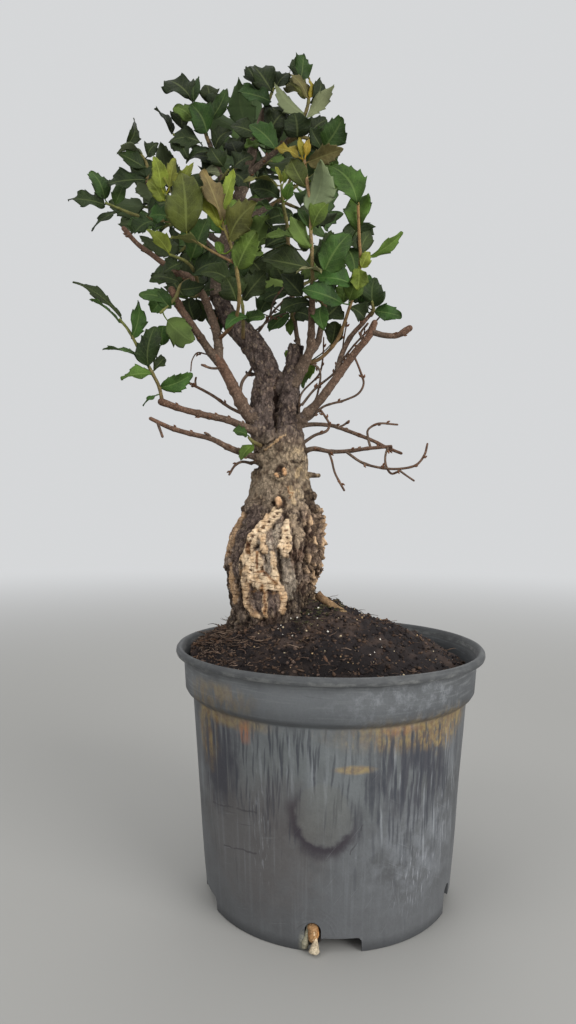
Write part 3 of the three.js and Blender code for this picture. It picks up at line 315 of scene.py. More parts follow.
# %% A tube along a line
def smooth_line(points, count):
    """count places on a smooth line through the given ones, evenly spread, the line's length, and how
    far each place is through the list of given ones, from 0 to 1."""
    points = np.asarray(points, float)
    steps = np.maximum(np.linalg.norm(np.diff(points, axis=0), axis=1), 1e-6) ** 0.5
    marks = np.concatenate([[0], np.cumsum(steps)])
    slopes = np.gradient(points, marks, axis=0)

    def at(wanted):
        k = np.clip(np.searchsorted(marks, wanted, side="right") - 1, 0, len(marks) - 2)
        gap = (marks[k + 1] - marks[k])[:, None]
        s = (wanted - marks[k])[:, None] / gap
        start = (2 * s**3 - 3 * s**2 + 1) * points[k] + (s**3 - 2 * s**2 + s) * gap * slopes[k]
        return start + (3 * s**2 - 2 * s**3) * points[k + 1] + (s**3 - s**2) * gap * slopes[k + 1]

    fine = np.linspace(0, marks[-1], 8 * len(points) + 40)
    lengths = np.concatenate([[0], np.cumsum(np.linalg.norm(np.diff(at(fine), axis=0), axis=1))])
    wanted = np.interp(np.linspace(0, lengths[-1], count), lengths, fine)
    return at(wanted), lengths[-1], np.interp(wanted, marks, np.linspace(0, 1, len(marks)))


def rings_along(centres):
    """Two directions square to the line at each of its points, turned as little as possible."""
    ahead = np.gradient(centres, axis=0)
    ahead /= np.linalg.norm(ahead, axis=1)[:, None]
    side = np.cross(ahead[0], [0.0, 0.0, 1.0] if abs(ahead[0][2]) < 0.9 else [1.0, 0.0, 0.0])
    sides = []
    for direction in ahead:
        side = side - direction * (side @ direction)
        side = side / np.linalg.norm(side)
        sides.append(side)
    sides = np.array(sides)
    return ahead, sides, np.cross(ahead, sides)


ROUND_TIP = ((0.35, 0.92), (0.7, 0.7), (0.92, 0.38), (1.0, 0.12))
CUT_TIP = ((0.12, 0.96), (0.16, 0.85), (0.1, 0.45), (0.06, 0.1))


def tube(points, radii, sides=10, pitch=1.6, rough=0.0, grain=2.0, seed=0, flare=0.0, tip=ROUND_TIP, swellings=()):
    """The points of a tube, its faces with their corners on the map, and the size of its rectangle."""
    count = max(4, int(smooth_line(points, 8)[1] / pitch) + 2)
    centres, length, through = smooth_line(points, count)
    along = np.linspace(0, length, count)
    radius = np.interp(through, np.linspace(0, 1, len(radii)), radii)
    radius = radius * (1 + flare * np.exp(-along / (2.2 * radii[0])))
    for place, size, width in swellings:
        radius = radius * (1 + size * np.exp(-(((along - place * length) / width) ** 2)))
    ahead, side, lift = rings_along(centres)
    end, last = centres[-1], radius[-1]
    extra = np.array([end + ahead[-1] * last * reach for reach, _ in tip])
    centres = np.concatenate([centres, extra])
    radius = np.concatenate([radius, [last * share for _, share in tip]])
    side = np.concatenate([side, np.repeat(side[-1:], len(tip), axis=0)])
    lift = np.concatenate([lift, np.repeat(lift[-1:], len(tip), axis=0)])
    angle = np.linspace(0, 2 * math.pi, sides, endpoint=False)
    out = np.cos(angle)[None, :, None] * side[:, None, :] + np.sin(angle)[None, :, None] * lift[:, None, :]
    shell = centres[:, None, :] + out * radius[:, None, None]
    if rough:
        flat = shell.reshape(-1, 3)
        bumps = layers(flat, grain, 2, seed).reshape(len(centres), sides)
        spun = np.stack([np.tile(np.cos(angle) * 1.6, len(centres)), np.tile(np.sin(angle) * 1.6, len(centres)),
                         np.repeat(np.arange(len(centres)) * 0.12, sides)], axis=1)
        furrows = noise(spun, 1.0, seed + 5).reshape(len(centres), sides)
        shell = shell + out * (radius[:, None] * rough * (bumps + 0.6 * furrows))[:, :, None]
    groups = [grid_faces(len(centres), sides, True)] + closing_faces(len(centres), angle, 0.02, mirrored=True)
    return shell.reshape(-1, 3), groups, (2 * math.pi * float(np.mean(radius)), length)


print("rings on a 60 mm twig:", len(smooth_line([(0, 0, 0), (30, 0, 5), (60, 0, 0)], 30)[0]))

# %% [markdown]
# ## Writing a material like a sum
#
# Blender's materials are nodes joined by wires. Dragging wires in code is tiring to read, so one small
# class stands for the end of a wire and knows how to add, multiply and compare. `1 - wear * 0.5` then
# makes its own Math nodes. Colours can't go through Math nodes, which would turn them grey, so they are
# blended and dimmed by two helpers. Every other node comes from the one method `node`.

# %% Wires that can be added and multiplied
class Wire:
    def __init__(self, paint, socket):
        self.paint, self.socket = paint, socket

    def math(self, operation, *others):
        return self.paint.math(operation, self, *others)

    def other(self, output):
        """Another output of the node that this wire comes from."""
        return Wire(self.paint, self.socket.node.outputs[output])

    def __add__(self, other):
        return self.math("ADD", other)

    def __radd__(self, other):
        return self.math("ADD", other)

    def __sub__(self, other):
        return self.math("SUBTRACT", other)

    def __rsub__(self, other):
        return self.paint.math("SUBTRACT", other, self)

    def __mul__(self, other):
        return self.math("MULTIPLY", other)

    def __rmul__(self, other):
        return self.math("MULTIPLY", other)

    def __truediv__(self, other):
        return self.math("DIVIDE", other)

    def __rtruediv__(self, other):
        return self.paint.math("DIVIDE", other, self)

    def __neg__(self):
        return self.math("MULTIPLY", -1.0)


class Paint:
    """A material under construction. All its lengths are in mm."""

    def __init__(self, name):
        self.material = bpy.data.materials.new(name)
        self.material.use_nodes = True
        self.tree = self.material.node_tree
        self.tree.nodes.clear()
        where = self.node("ShaderNodeTexCoord", output="Object")
        self.place = self.vector("SCALE", where, scale=1000.0)

    def node(self, kind, settings=None, values=None, output=0):
        """Any node: its type, its settings, then a value or a wire for each named or numbered socket."""
        made = self.tree.nodes.new(kind)
        for key, value in (settings or {}).items():
            setattr(made, key, value)
        for key, value in (values or {}).items():
            if isinstance(value, Wire):
                self.tree.links.new(value.socket, made.inputs[key])
            else:
                made.inputs[key].default_value = value
        return Wire(self, made.outputs[output]) if made.outputs else None

    def math(self, operation, *values):
        return self.node("ShaderNodeMath", {"operation": operation}, dict(enumerate(values)))

    def vector(self, operation, a, b=None, scale=None):
        values = {0: a}
        if b is not None:
            values[1] = b
        if scale is not None:
            values[3] = scale
        return self.node("ShaderNodeVectorMath", {"operation": operation}, values)

    def parts(self, vector):
        return [self.node("ShaderNodeSeparateXYZ", {}, {0: vector}, output=k) for k in range(3)]

    def joined(self, x, y, z=0.0):
        return self.node("ShaderNodeCombineXYZ", {}, {0: x, 1: y, 2: z})

    def between(self, value, low, high):
        """0 up to low, 1 from high."""
        settings = {"interpolation_type": "SMOOTHSTEP"}
        return self.node("ShaderNodeMapRange", settings, {"Value": value, 1: low, 2: high, 3: 0.0, 4: 1.0})

    def speckle(self, size, detail=3.0, rough=0.55, where=None):
        """Soft noise, 0 to 1 about 0.5, with about size mm from one spot to the next."""
        values = {"Vector": where or self.place, "Scale": 1.0 / size, "Detail": detail, "Roughness": rough}
        return self.node("ShaderNodeTexNoise", {}, values)

    def cells(self, size, feature="F1", where=None, output="Distance"):
        values = {"Vector": where or self.place, "Scale": 1.0 / size}
        return self.node("ShaderNodeTexVoronoi", {"feature": feature}, values, output=output)

    def corner(self, output="Color"):
        """What is painted on the face corners: a colour, and a fourth number called Alpha."""
        return self.node("ShaderNodeAttribute", {"attribute_name": "tint"}, output=output)

    def blend(self, share, a, b):
        a = (*a, 1.0) if isinstance(a, tuple) else a
        b = (*b, 1.0) if isinstance(b, tuple) else b
        return self.node("ShaderNodeMix", {"data_type": "RGBA"}, {0: share, 6: a, 7: b}, output=2)

    def dim(self, shade, strength):
        return self.vector("SCALE", shade, scale=strength)

    def finish(self, shade, roughness, height, depth, gloss):
        """The surface itself. height is a wire, 0 to 1, and depth is how many mm that is."""
        bump = self.node("ShaderNodeBump", {}, {"Strength": 1.0, "Distance": depth / 1000, "Height": height})
        values = {"Base Color": shade, "Roughness": roughness, "Normal": bump, "Specular IOR Level": gloss}
        body = self.node("ShaderNodeBsdfPrincipled", {}, values)
        self.node("ShaderNodeOutputMaterial", {}, {"Surface": body})
        return self.material


trial = Paint("trial")
print("nodes in 1 - x * 0.5:", len(trial.tree.nodes), "->", end=" ")
(1 - trial.speckle(4.0) * 0.5)
print(len(trial.tree.nodes))
bpy.data.materials.remove(trial.material)

# %% [markdown]
# ## The leaf's skin
#
# A cork oak leaf is leathery and dark, with a soft gloss. Its midrib is a pale line, and side veins run
# from it to the teeth. Each leaf's own green is painted on its corners, because old leaves are almost
# black-green and the newest are yellow or bronze. The veins are drawn on the leaf's own squared
# paper, called `blade`: across from margin to margin, and along from stalk to tip. The underside is
# paler and matt, and the fourth number of the corner colour says which side it is.

# %% Leaf skin
VEIN_PAIRS = 7.0
VEIN_SLANT = 2.0


def leaf_skin():
    paint = Paint("leaf_skin")
    tint = paint.corner()
    upper = paint.corner("Alpha")
    blade = paint.node("ShaderNodeUVMap", {"uv_map": "blade"})
    across, along, _ = paint.parts(blade)
    off_middle = (across * 2 - 1).math("ABSOLUTE")
    phase = along * VEIN_PAIRS - off_middle * VEIN_SLANT
    vein = 1 - paint.between((phase.math("FRACT") - 0.5).math("ABSOLUTE"), 0.0, 0.1)
    fade = 1 - paint.between(off_middle, 0.55, 0.95) * 0.8
    midrib = 1 - paint.between(off_middle, 0.03, 0.1)
    net = 1 - paint.between(paint.cells(1.5, "DISTANCE_TO_EDGE"), 0.0, 0.16)
    blotch = paint.speckle(9.0, 3.0)
    grain = paint.speckle(1.1, 2.0)
    shade = paint.dim(tint, 0.55 + paint.between(blotch, 0.3, 0.7) * 0.7 + grain * 0.2)
    pale = paint.blend(0.3, paint.dim(tint, 1.9), (0.24, 0.27, 0.1))
    lines = (vein * fade * 0.22).math("MAXIMUM", midrib * (0.75 - along * 0.35))
    shade = paint.blend(lines, shade, pale)
    shade = paint.blend(net * 0.12, shade, pale)
    edge = paint.between(off_middle, 0.93, 1.0)
    shade = paint.blend(edge * 0.25, shade, pale)
    under = paint.blend(0.3, paint.dim(tint, 1.5), (0.15, 0.18, 0.1))
    shade = paint.blend((1 - upper) * 0.7, shade, under)
    relief = 0.5 + vein * fade * 0.2 + midrib * 0.3 + net * 0.12 + grain * 0.3 + blotch * 0.5
    return paint.finish(shade, 0.8 - upper * 0.22 + blotch * 0.12, relief, depth=0.3, gloss=0.2)


leaf_skin_material = leaf_skin()
print("leaf skin nodes:", len(leaf_skin_material.node_tree.nodes))

# %% [markdown]
# ## Twig bark, stem skin and root skin
#
# Young oak bark is thin and scaly, grey-brown where it is old and reddish where it is new. Small pale
# pores sit on it, and fine cracks run along it. The same recipe serves every woody piece: the corner
# colour says which brown it is, and the recipe adds scales, pores and cracks over it.

# %% Woody skins
def woody_skin(name, scale, crack, pore, depth):
    paint = Paint(name)
    tint = paint.corner()
    patches = paint.speckle(6.0 * scale, 4.0, 0.6)
    grain = paint.speckle(0.9 * scale, 3.0, 0.65)
    cracks = 1 - paint.between(paint.cells(2.6 * scale, "DISTANCE_TO_EDGE"), 0.0, 0.14)
    pores = 1 - paint.between(paint.cells(3.1 * scale), 0.1, 0.24)
    shade = paint.dim(tint, 0.4 + paint.between(patches, 0.3, 0.7) * 0.5 + paint.between(grain, 0.3, 0.7) * 0.6)
    shade = paint.blend(cracks * crack, shade, paint.dim(tint, 0.3))
    shade = paint.blend(pores * pore, shade, paint.blend(0.6, paint.dim(tint, 1.7), (0.5, 0.42, 0.32)))
    relief = grain * 0.7 + patches * 0.3 - cracks * crack * 0.6 + pores * pore * 0.3
    return paint.finish(shade, 0.78 + grain * 0.16, relief, depth=depth, gloss=0.25)


twig_bark = woody_skin("twig_bark", 1.0, 0.5, 0.35, 0.35)
stem_skin = woody_skin("stem_skin", 0.6, 0.15, 0.3, 0.12)
root_skin = woody_skin("root_skin", 0.9, 0.35, 0.2, 0.3)
print("woody skins:", [skin.name for skin in (twig_bark, stem_skin, root_skin)])

# %% [markdown]
# ## Cork
#
# Cork is a foam of dead cells that weathers into crumbs, so its colour changes from one millimetre to
# the next. The points of the trunk's skin carry the large patches. The recipe adds what is finer than
# those points: upright flakes, a brightness of its own for each crumb, and thin dark cracks whose way is
# bent by noise, because straight cell borders would look like tiles. Cream cork is smoother, and it is
# cracked level like the rungs of a ladder; the fourth number of the corner colour says where.

# %% Cork skin
def cork_skin():
    paint = Paint("cork_bark")
    tint = paint.corner()
    pale = paint.between(paint.parts(tint)[0], 0.34, 0.6)
    drift = paint.node("ShaderNodeTexNoise", {}, {"Vector": paint.place, "Scale": 0.4, "Detail": 3.0}, output="Color")
    bent = paint.vector("ADD", paint.place, paint.vector("SCALE", drift, scale=4.0))
    upright = paint.vector("MULTIPLY", bent, (1.0, 1.0, 0.5))
    flakes = paint.speckle(2.6, 4.0, 0.7, upright)
    patches = paint.speckle(9.0, 4.0, 0.65)
    grain = paint.speckle(0.7, 3.0, 0.7)
    crumb = paint.parts(paint.cells(1.6, where=upright, output="Color"))[0]
    cracks = 1 - paint.between(paint.cells(2.7, "DISTANCE_TO_EDGE", upright), 0.0, 0.12)
    light = 0.3 + paint.between(flakes, 0.32, 0.68) * 0.62 + paint.between(grain, 0.3, 0.7) * 0.3
    light = light + crumb * 0.28 + paint.between(patches, 0.3, 0.7) * 0.22
    shade = paint.dim(tint, light * (1 - pale * 0.62) + pale * 0.56)
    dusty = paint.blend(0.5, tint, colour(196, 172, 138))
    shade = paint.blend(paint.between(flakes * crumb, 0.36, 0.5) * 0.35, shade, dusty)
    cracks = cracks * paint.between(patches, 0.32, 0.54) * (1 - pale * 0.7)
    shade = paint.blend(cracks * 0.65, shade, paint.dim(tint, 0.28))
    rungs = paint.corner("Alpha")
    across, _, high = paint.parts(paint.place)
    level = (high * 1.25 + across * 0.14 + paint.speckle(10.0, 2.0) * 5.0 + flakes * 0.8).math("SINE").math("ABSOLUTE")
    level_cracks = (1 - paint.between(level, 0.12, 0.42)) * paint.between(paint.speckle(4.2, 2.0), 0.42, 0.54) * rungs
    warm = rungs * paint.between(paint.speckle(6.0, 3.0), 0.46, 0.62)
    shade = paint.blend(warm * 0.4, shade, colour(188, 142, 94))
    shade = paint.blend(level_cracks * 0.85, shade, paint.blend(0.6, paint.dim(tint, 0.3), colour(104, 62, 38)))
    relief = (flakes * 0.6 + grain * 0.4 + crumb * 0.3) * (1 - pale * 0.6) - cracks * 0.5 - level_cracks * 0.7
    return paint.finish(shade, 0.86 + grain * 0.1, relief, depth=0.8, gloss=0.18)


cork_bark = cork_skin()
print("cork nodes:", len(cork_bark.node_tree.nodes))

# %% [markdown]
# ## Potting mix
#
# The mix is peat and fine bark, nearly black when damp and reddish where fibres have dried. Each crumb
# gets its own brown from its corner colour, and the recipe paints shade into the hollows between them.

# %% Potting mix finish
def mix_finish():
    paint = Paint("potting_mix")
    tint = paint.corner()
    clods = paint.speckle(5.0, 4.0, 0.7)
    grain = paint.speckle(0.8, 3.0, 0.7)
    # Painted shade: the colour is darkened where the clods and the grain are low, which are also the hollows of the
    # bump.
    shade = paint.dim(tint, 0.3 + clods * 0.85 + grain * 0.6)
    return paint.finish(shade, 0.93, clods * 0.5 + grain * 0.6, depth=0.8, gloss=0.15)


potting_mix = mix_finish()
print("potting mix nodes:", len(potting_mix.node_tree.nodes))

# %% [markdown]
# ## The pot's plastic
#
# The pot was black once. Years of rain, chalky water and handling have turned it a blotchy blue-grey,
# with a chalky bloom on the collar, dark upright streaks where water ran down, ochre stains under the
# collar, a rubbed round patch at the front, and light scratches. All of it is placed by two numbers:
# `run`, how far round the wall from its front, and `high`, the height above the foot, both in mm.

# %% Where on the wall
WALL_RADIUS = 95.0


class WallPaint(Paint):
    """Paint for the pot, which knows how far round from the front and how high it is, in mm."""

    def __init__(self, name):
        super().__init__(name)
        self.x, self.y, self.high = self.parts(self.place)
        self.run = self.x.math("ARCTAN2", -self.y) * WALL_RADIUS
        self.torn = (self.speckle(9.0, 3.0) - 0.5) * 0.9
        self.wobble = self.speckle(16.0, 3.0) - 0.5
        self.cloud = self.speckle(38.0, 4.0, 0.6)
        self.fog = self.speckle(11.0, 4.0, 0.65)
        self.dust = self.speckle(1.6, 3.0, 0.7)
        self.below_collar = 1 - self.between(self.high, 141.5, 144.5)
        self.on_collar = 1 - self.below_collar
        self.lower = 1 - self.between(self.high, 20.0, 75.0)
        self.shade = None

    def lay(self, share, red, green, blue):
        """Covers a share of what has been painted so far with a colour."""
        self.shade = self.blend(share, self.shade, colour(red, green, blue))

    def patch(self, at_run, at_high, wide, tall, soft=0.5):
        """1 inside an oval on the wall, 0 outside it, with a torn edge."""
        across = (self.run - at_run) / wide
        over = (self.high - at_high) / tall
        reach = (across * across + over * over).math("SQRT") + self.torn
        return 1 - self.between(reach, 1 - soft, 1 + soft)

    def strands(self, width, length, seed):
        """Upright streaks that run into each other, 0 to 1."""
        where = self.joined(self.run / width, self.high / length, seed)
        values = {"Vector": where, "Scale": 1.0, "Detail": 3.0, "Roughness": 0.6, "Distortion": 0.25}
        return self.node("ShaderNodeTexNoise", {}, values)

    def chosen_cells(self, where, inner, outer, share, soft):
        """A spot in each of a share of the cells, 1 up to inner from its middle and 0 from outer."""
        flat = {"voronoi_dimensions": "2D"}
        near = self.node("ShaderNodeTexVoronoi", flat, {"Vector": where, "Scale": 1.0})
        chosen = self.node("ShaderNodeSeparateColor", {}, {0: near.other("Color")})
        return (1 - self.between(near, inner, outer)) * (1 - self.between(chosen, share - soft, share + soft))

    def strokes(self, width, length, lean, share, seed):
        """Separate strokes with pointed ends, as if made by a dry brush."""
        across = (self.run + self.high * lean) / width + self.wobble * 0.9
        return self.chosen_cells(self.joined(across, self.high / length + seed * 7.3), 0.14, 0.34, share, 0.04)

    def scratches(self, lean, share, seed, where_from):
        """Long thin scratches at a slant, only inside a patch."""
        along = self.run / 34 - self.high * 0.01 * lean + seed
        way = self.joined(self.high / 1.1 + self.run * lean, along)
        return self.chosen_cells(way, 0.1, 0.26, share, 0.01) * where_from

    def marks(self, chains, wide):
        """1 on scratches, each drawn as a chain of places on the wall, and 0 beside them."""
        here = self.joined(self.run + self.wobble * 9.0, self.high + self.torn * 4.0)
        nearest = None
        pairs = [pair for chain in chains for pair in zip(chain, chain[1:])]
        for (start_run, start_high), (end_run, end_high) in pairs:
            way = (end_run - start_run, end_high - start_high, 0.0)
            from_start = self.vector("SUBTRACT", here, (start_run, start_high, 0.0))
            product = {"operation": "DOT_PRODUCT"}
            share = self.node("ShaderNodeVectorMath", product, {0: from_start, 1: way}, output=1)
            clamped = {"operation": "DIVIDE", "use_clamp": True}
            share = self.node("ShaderNodeMath", clamped, {0: share, 1: way[0] ** 2 + way[1] ** 2})
            rest = self.vector("SUBTRACT", from_start, self.vector("SCALE", way, scale=share))
            gap = self.node("ShaderNodeVectorMath", {"operation": "LENGTH"}, {0: rest}, output=1)
            nearest = gap if nearest is None else nearest.math("MINIMUM", gap)
        return 1 - self.between(nearest, wide * 0.35, wide)


print("brushes:", [name for name in vars(WallPaint) if not name.startswith("_")])

# %% Old plastic and what water left on it
def old_plastic(wall):
    """Grey in soft clouds, lighter near the top, with painted light on the collar, brownish at the left."""
    wall.shade = wall.blend(wall.between(wall.cloud, 0.3, 0.7), colour(72, 73, 74), colour(90, 92, 94))
    wall.lay(wall.between(wall.fog, 0.45, 0.75) * 0.4, 103, 106, 107)
    wall.lay(wall.lower * 0.5, 87, 88, 90)
    wall.lay(wall.patch(-52, 66, 46, 44) * 0.5, 88, 83, 81)
    wall.lay(wall.patch(-6, 116, 60, 28) * 0.34, 114, 120, 120)
    # Painted light: the collar is painted lighter across its front, as if it stood in full light.
    wall.lay(wall.patch(-20, 156, 88, 15) * 0.55, 124, 127, 129)
    rubbed = wall.patch(66, 58, 36, 32) * wall.between(wall.fog, 0.38, 0.6)
    wall.lay(rubbed * 0.3, 124, 127, 132)
    brushed = {"Vector": wall.joined(wall.run / 22, wall.high / 1.6, 5.0), "Scale": 1.0, "Detail": 3.0}
    level_brush = wall.node("ShaderNodeTexNoise", {}, brushed)
    wall.lay(wall.between(level_brush, 0.5, 0.72) * wall.on_collar * 0.4, 134, 137, 137)


def water_streaks(wall):
    """Pale and dark streaks and strokes below the collar. The dark ones are needed again later."""
    soft_streaks = wall.between(wall.strands(3.6, 70.0, 3.0), 0.5, 0.8) * wall.below_collar * (1 - wall.lower * 0.6)
    wall.lay(soft_streaks * 0.32, 136, 140, 144)
    chalk = wall.strokes(3.4, 46.0, 0.05, 0.3, 1.0)
    chalk = chalk * (wall.patch(66, 92, 46, 52) + wall.patch(-20, 116, 40, 30) * 0.6)
    wall.lay(chalk.math("MINIMUM", 1.0) * 0.42, 146, 150, 154)
    left_smear = wall.patch(-80, 116, 19, 34, 0.4) * wall.between(wall.strands(4.0, 60.0, 31.0), 0.32, 0.52)
    right_smear = wall.patch(58, 114, 32, 28, 0.4) * wall.between(wall.strands(5.0, 46.0, 37.0), 0.4, 0.54)
    wall.lay((left_smear * 0.9 + right_smear * 0.8).math("MINIMUM", 1.0), 54, 54, 61)
    fine = wall.strokes(3.4, 58.0, 0.02, 0.86, 11.0) * wall.patch(-36, 112, 36, 32, 0.3)
    fine_again = wall.strokes(2.6, 40.0, -0.06, 0.6, 17.0) * wall.patch(-24, 106, 46, 38, 0.3)
    broad = wall.strokes(4.6, 62.0, 0.04, 0.86, 23.0) * wall.patch(62, 108, 46, 40, 0.35)
    broad_again = wall.strokes(3.0, 44.0, 0.02, 0.75, 29.0) * wall.patch(56, 102, 50, 42, 0.35)
    stray = wall.strokes(4.0, 40.0, 0.05, 0.16, 41.0) * wall.below_collar * (1 - wall.lower * 0.7)
    dark_strokes = fine.math("MAXIMUM", fine_again * 0.8).math("MAXIMUM", broad)
    dark_strokes = dark_strokes.math("MAXIMUM", broad_again * 0.8).math("MAXIMUM", stray * 0.5) * wall.below_collar
    wall.lay(dark_strokes * (0.5 + wall.dust * 0.5), 50, 52, 59)
    return fine, dark_strokes


def ochre_stains(wall, dark_strokes):
    """Chalky bloom on the collar, and ochre and orange stains on it and under it."""
    bloom = wall.between(wall.speckle(7.0, 5.0, 0.75), 0.46, 0.66) * wall.patch(48, 156, 40, 14)
    wall.lay(bloom * 0.6, 150, 153, 157)
    left_collar = wall.patch(-66, 152, 30, 12) * wall.between(wall.strands(5.0, 30.0, 61.0), 0.4, 0.6)
    wall.lay(left_collar * 0.3, 84, 82, 76)
    blots = wall.speckle(6.0, 5.0, 0.7, wall.joined(wall.run * 1.8, wall.high * 0.7))
    streaked = wall.between(wall.strands(3.4, 16.0, 81.0) * 0.7 + blots * 0.3, 0.36, 0.6)
    under_right = wall.patch(60, 138, 46, 10, 0.6) * streaked
    hem_right = wall.patch(70, 143, 42, 4, 0.5)
    far_right = wall.patch(84, 136, 20, 14, 0.4) * wall.between(blots, 0.42, 0.6)
    smear = wall.patch(16, 117.5, 12, 2.6, 0.4)
    left_edge = wall.patch(-92, 128, 12, 22, 0.4) * wall.between(wall.strands(5.0, 30.0, 71.0), 0.36, 0.62) * 0.8
    left_hem = wall.patch(-64, 140.5, 24, 5.0, 0.5) * (0.5 + blots * 0.6)
    left_brown = wall.patch(-72, 155, 24, 9, 0.5) * wall.between(wall.strands(4.0, 14.0, 73.0), 0.36, 0.58) * 0.7
    stain = under_right + hem_right * 0.8 + far_right + smear + left_edge + left_hem + left_brown
    stain = stain.math("MINIMUM", 1.0)
    brown_share = wall.between(wall.speckle(4.0, 3.0), 0.4, 0.62)
    ochre = wall.blend(brown_share, colour(158, 134, 80), colour(132, 104, 66))
    wall.shade = wall.blend(stain * 0.54 * (1 - dark_strokes * 0.85), wall.shade, ochre)
    orange = wall.patch(-53, 135, 4.6, 6.0, 0.7) + wall.patch(46, 140, 12, 3.0, 0.6) * 0.4
    orange = orange.math("MINIMUM", 1.0) * wall.between(wall.strands(2.6, 22.0, 91.0), 0.36, 0.58)
    wall.lay(orange * 0.55, 164, 104, 66)
    return stain


print("layers that water left:", [layer.__name__ for layer in (old_plastic, water_streaks, ochre_stains)])

# %% What hands and the ground left on it, and painted shade at the foot, the lip and inside
RING_RUN, RING_HIGH = -2.0, 88.5
RING_HALF_WIDTH, RING_HALF_HEIGHT = 18.5, 21.5
DARK_SCRATCHES = [
    [(-89, 78), (-62, 83), (-45, 84.5)],
    [(-78, 53), (-60, 56.5), (-48, 57.4)],
    [(22, 82), (14, 64.5)],
]


def rubbed_ring(wall):
    """A round patch at the front, rubbed pale, with a dark rim that is strongest at the lower left."""
    aside = (wall.run - RING_RUN) / RING_HALF_WIDTH
    over = (wall.high - RING_HIGH) / RING_HALF_HEIGHT
    ring = (aside * aside + over * over).math("SQRT") + wall.torn * 0.2 + (wall.fog - 0.5) * 0.5
    inside = 1 - wall.between(ring, 0.84, 1.0)
    rim = wall.between(ring, 0.84, 1.02) * (1 - wall.between(ring, 1.02, 1.45))
    rim = rim * (1 - wall.between(wall.high, 90.0, 106.0) * 0.85)
    low_left = 1 - wall.between(wall.run + (wall.high - RING_HIGH) * 0.9, -6.0, 22.0) * 0.8
    wall.lay(rim * low_left, 54, 50, 55)
    wall.lay(inside * (0.2 + wall.fog * 0.35), 98, 98, 94)
    wall.lay(wall.patch(-30, 94, 16, 16, 0.5) * 0.35, 70, 65, 66)


def scratched(wall):
    """Light and dark scratches, and upright scuffs."""
    light = wall.scratches(0.5, 0.06, 3.0, wall.patch(70, 66, 40, 40))
    light = light + wall.scratches(-1.2, 0.05, 9.0, wall.patch(40, 60, 60, 50))
    light = light + wall.scratches(-0.2, 0.04, 21.0, wall.patch(-50, 50, 50, 40))
    wall.lay(light.math("MINIMUM", 1.0) * (wall.dust * 0.4), 140, 143, 146)
    dark = wall.scratches(-0.14, 0.04, 33.0, wall.patch(-62, 80, 30, 40))
    dark = dark + wall.scratches(0.1, 0.04, 39.0, wall.patch(-40, 156, 40, 12))
    broken = wall.between(wall.fog, 0.3, 0.5)
    dark = dark.math("MAXIMUM", wall.marks(DARK_SCRATCHES, 0.8) * broken)
    wall.lay(dark.math("MINIMUM", 1.0) * 0.6, 54, 52, 55)
    scuffed = wall.patch(64, 42, 20, 20) + wall.patch(94, 80, 16, 28) + wall.patch(-44, 74, 8, 34) * 0.6
    scuffs = wall.between(wall.strands(1.4, 12.0, 53.0), 0.56, 0.7) * scuffed.math("MINIMUM", 1.0)
    wall.lay(scuffs * 0.55, 154, 157, 162)


def foot_and_lip(wall):
    """Lime and swirls about the front drain, painted shade at the foot, a worn lip with painted shade on its top, and
    painted shade inside.
    """
    lime = wall.patch(-15.4, 5, 2.6, 6, 0.6) * wall.between(wall.speckle(2.0, 4.0, 0.7), 0.3, 0.55)
    wall.lay(lime * 0.6, 158, 156, 138)
    # Painted shadow: the foot is darkened below 8 mm, as a contact shadow on the floor.
    wall.lay((1 - wall.between(wall.high, 1.5, 8.0)) * 0.4, 52, 53, 55)
    aside, over = wall.run + 9.0, wall.high - 6.0
    from_drain = (aside * aside * 0.8 + over * over * 0.7).math("SQRT") + wall.torn * 1.5
    swirl = (from_drain * 2.4).math("SINE") * wall.patch(-4, 14, 14, 12) * wall.between(wall.fog, 0.35, 0.6)
    wall.lay(wall.between(swirl, 0.3, 0.9) * 0.4, 60, 61, 62)
    lip = wall.between(wall.high, 171.0, 172.4) * (1 - wall.between(wall.high, 173.4, 175.0) * 0.7)
    worn = wall.between(wall.speckle(5.0, 4.0, 0.7, wall.joined(wall.run * 0.5, wall.high)), 0.42, 0.66)
    # Painted shade: the top of the lip is darkened, to hold back the light that falls on it.
    wall.lay(wall.between(wall.high, 170.0, 171.5) * 0.72, 58, 59, 60)
    wall.lay(lip * worn * 0.3, 140, 141, 137)
    # Painted shade: the inside of the pot above its floor is darkened.
    from_axis = (wall.x * wall.x + wall.y * wall.y).math("SQRT")
    below = (1 - wall.between(from_axis - wall.high * 0.075, 86.3, 87.3)) * wall.below_collar
    within = below + (1 - wall.between(from_axis, 104.0, 106.5)) * wall.on_collar
    within = within.math("MINIMUM", 1.0) * wall.between(wall.high, 9.0, 11.0)
    wall.lay(within * 0.6, 50, 52, 55)
    return swirl


print("hand-drawn scratches:", len(DARK_SCRATCHES))

# %% Pot plastic
def pot_plastic():
    wall = WallPaint("pot_plastic")
    old_plastic(wall)
    fine, dark_strokes = water_streaks(wall)
    stain = ochre_stains(wall, dark_strokes)
    rubbed_ring(wall)
    scratched(wall)
    swirl = foot_and_lip(wall)
    shade = wall.dim(wall.shade, 0.84 + wall.dust * 0.3)
    relief = wall.dust * 0.35 + wall.fog * 0.4 - fine * 0.12 + swirl * 0.2
    roughness = 0.56 + wall.fog * 0.18 - dark_strokes * 0.1 + stain * 0.15
    return wall.finish(shade, roughness, relief, depth=0.25, gloss=0.4)


pot_plastic_material = pot_plastic()
print("pot plastic nodes:", len(pot_plastic_material.node_tree.nodes))

# %% [markdown]
# ## The pot
#
# A moulded nursery pot is a turned shape: a leaning wall, a shoulder that steps out into a collar, and
# a rolled lip. Its profile is drawn once and carried round a circle. Real pots are never quite round,
# so the wall swells and dips by a fraction of a millimetre. The drains are tall arches with a shallow
# notch beside each, cut through the corner of wall and floor with Boolean modifiers.

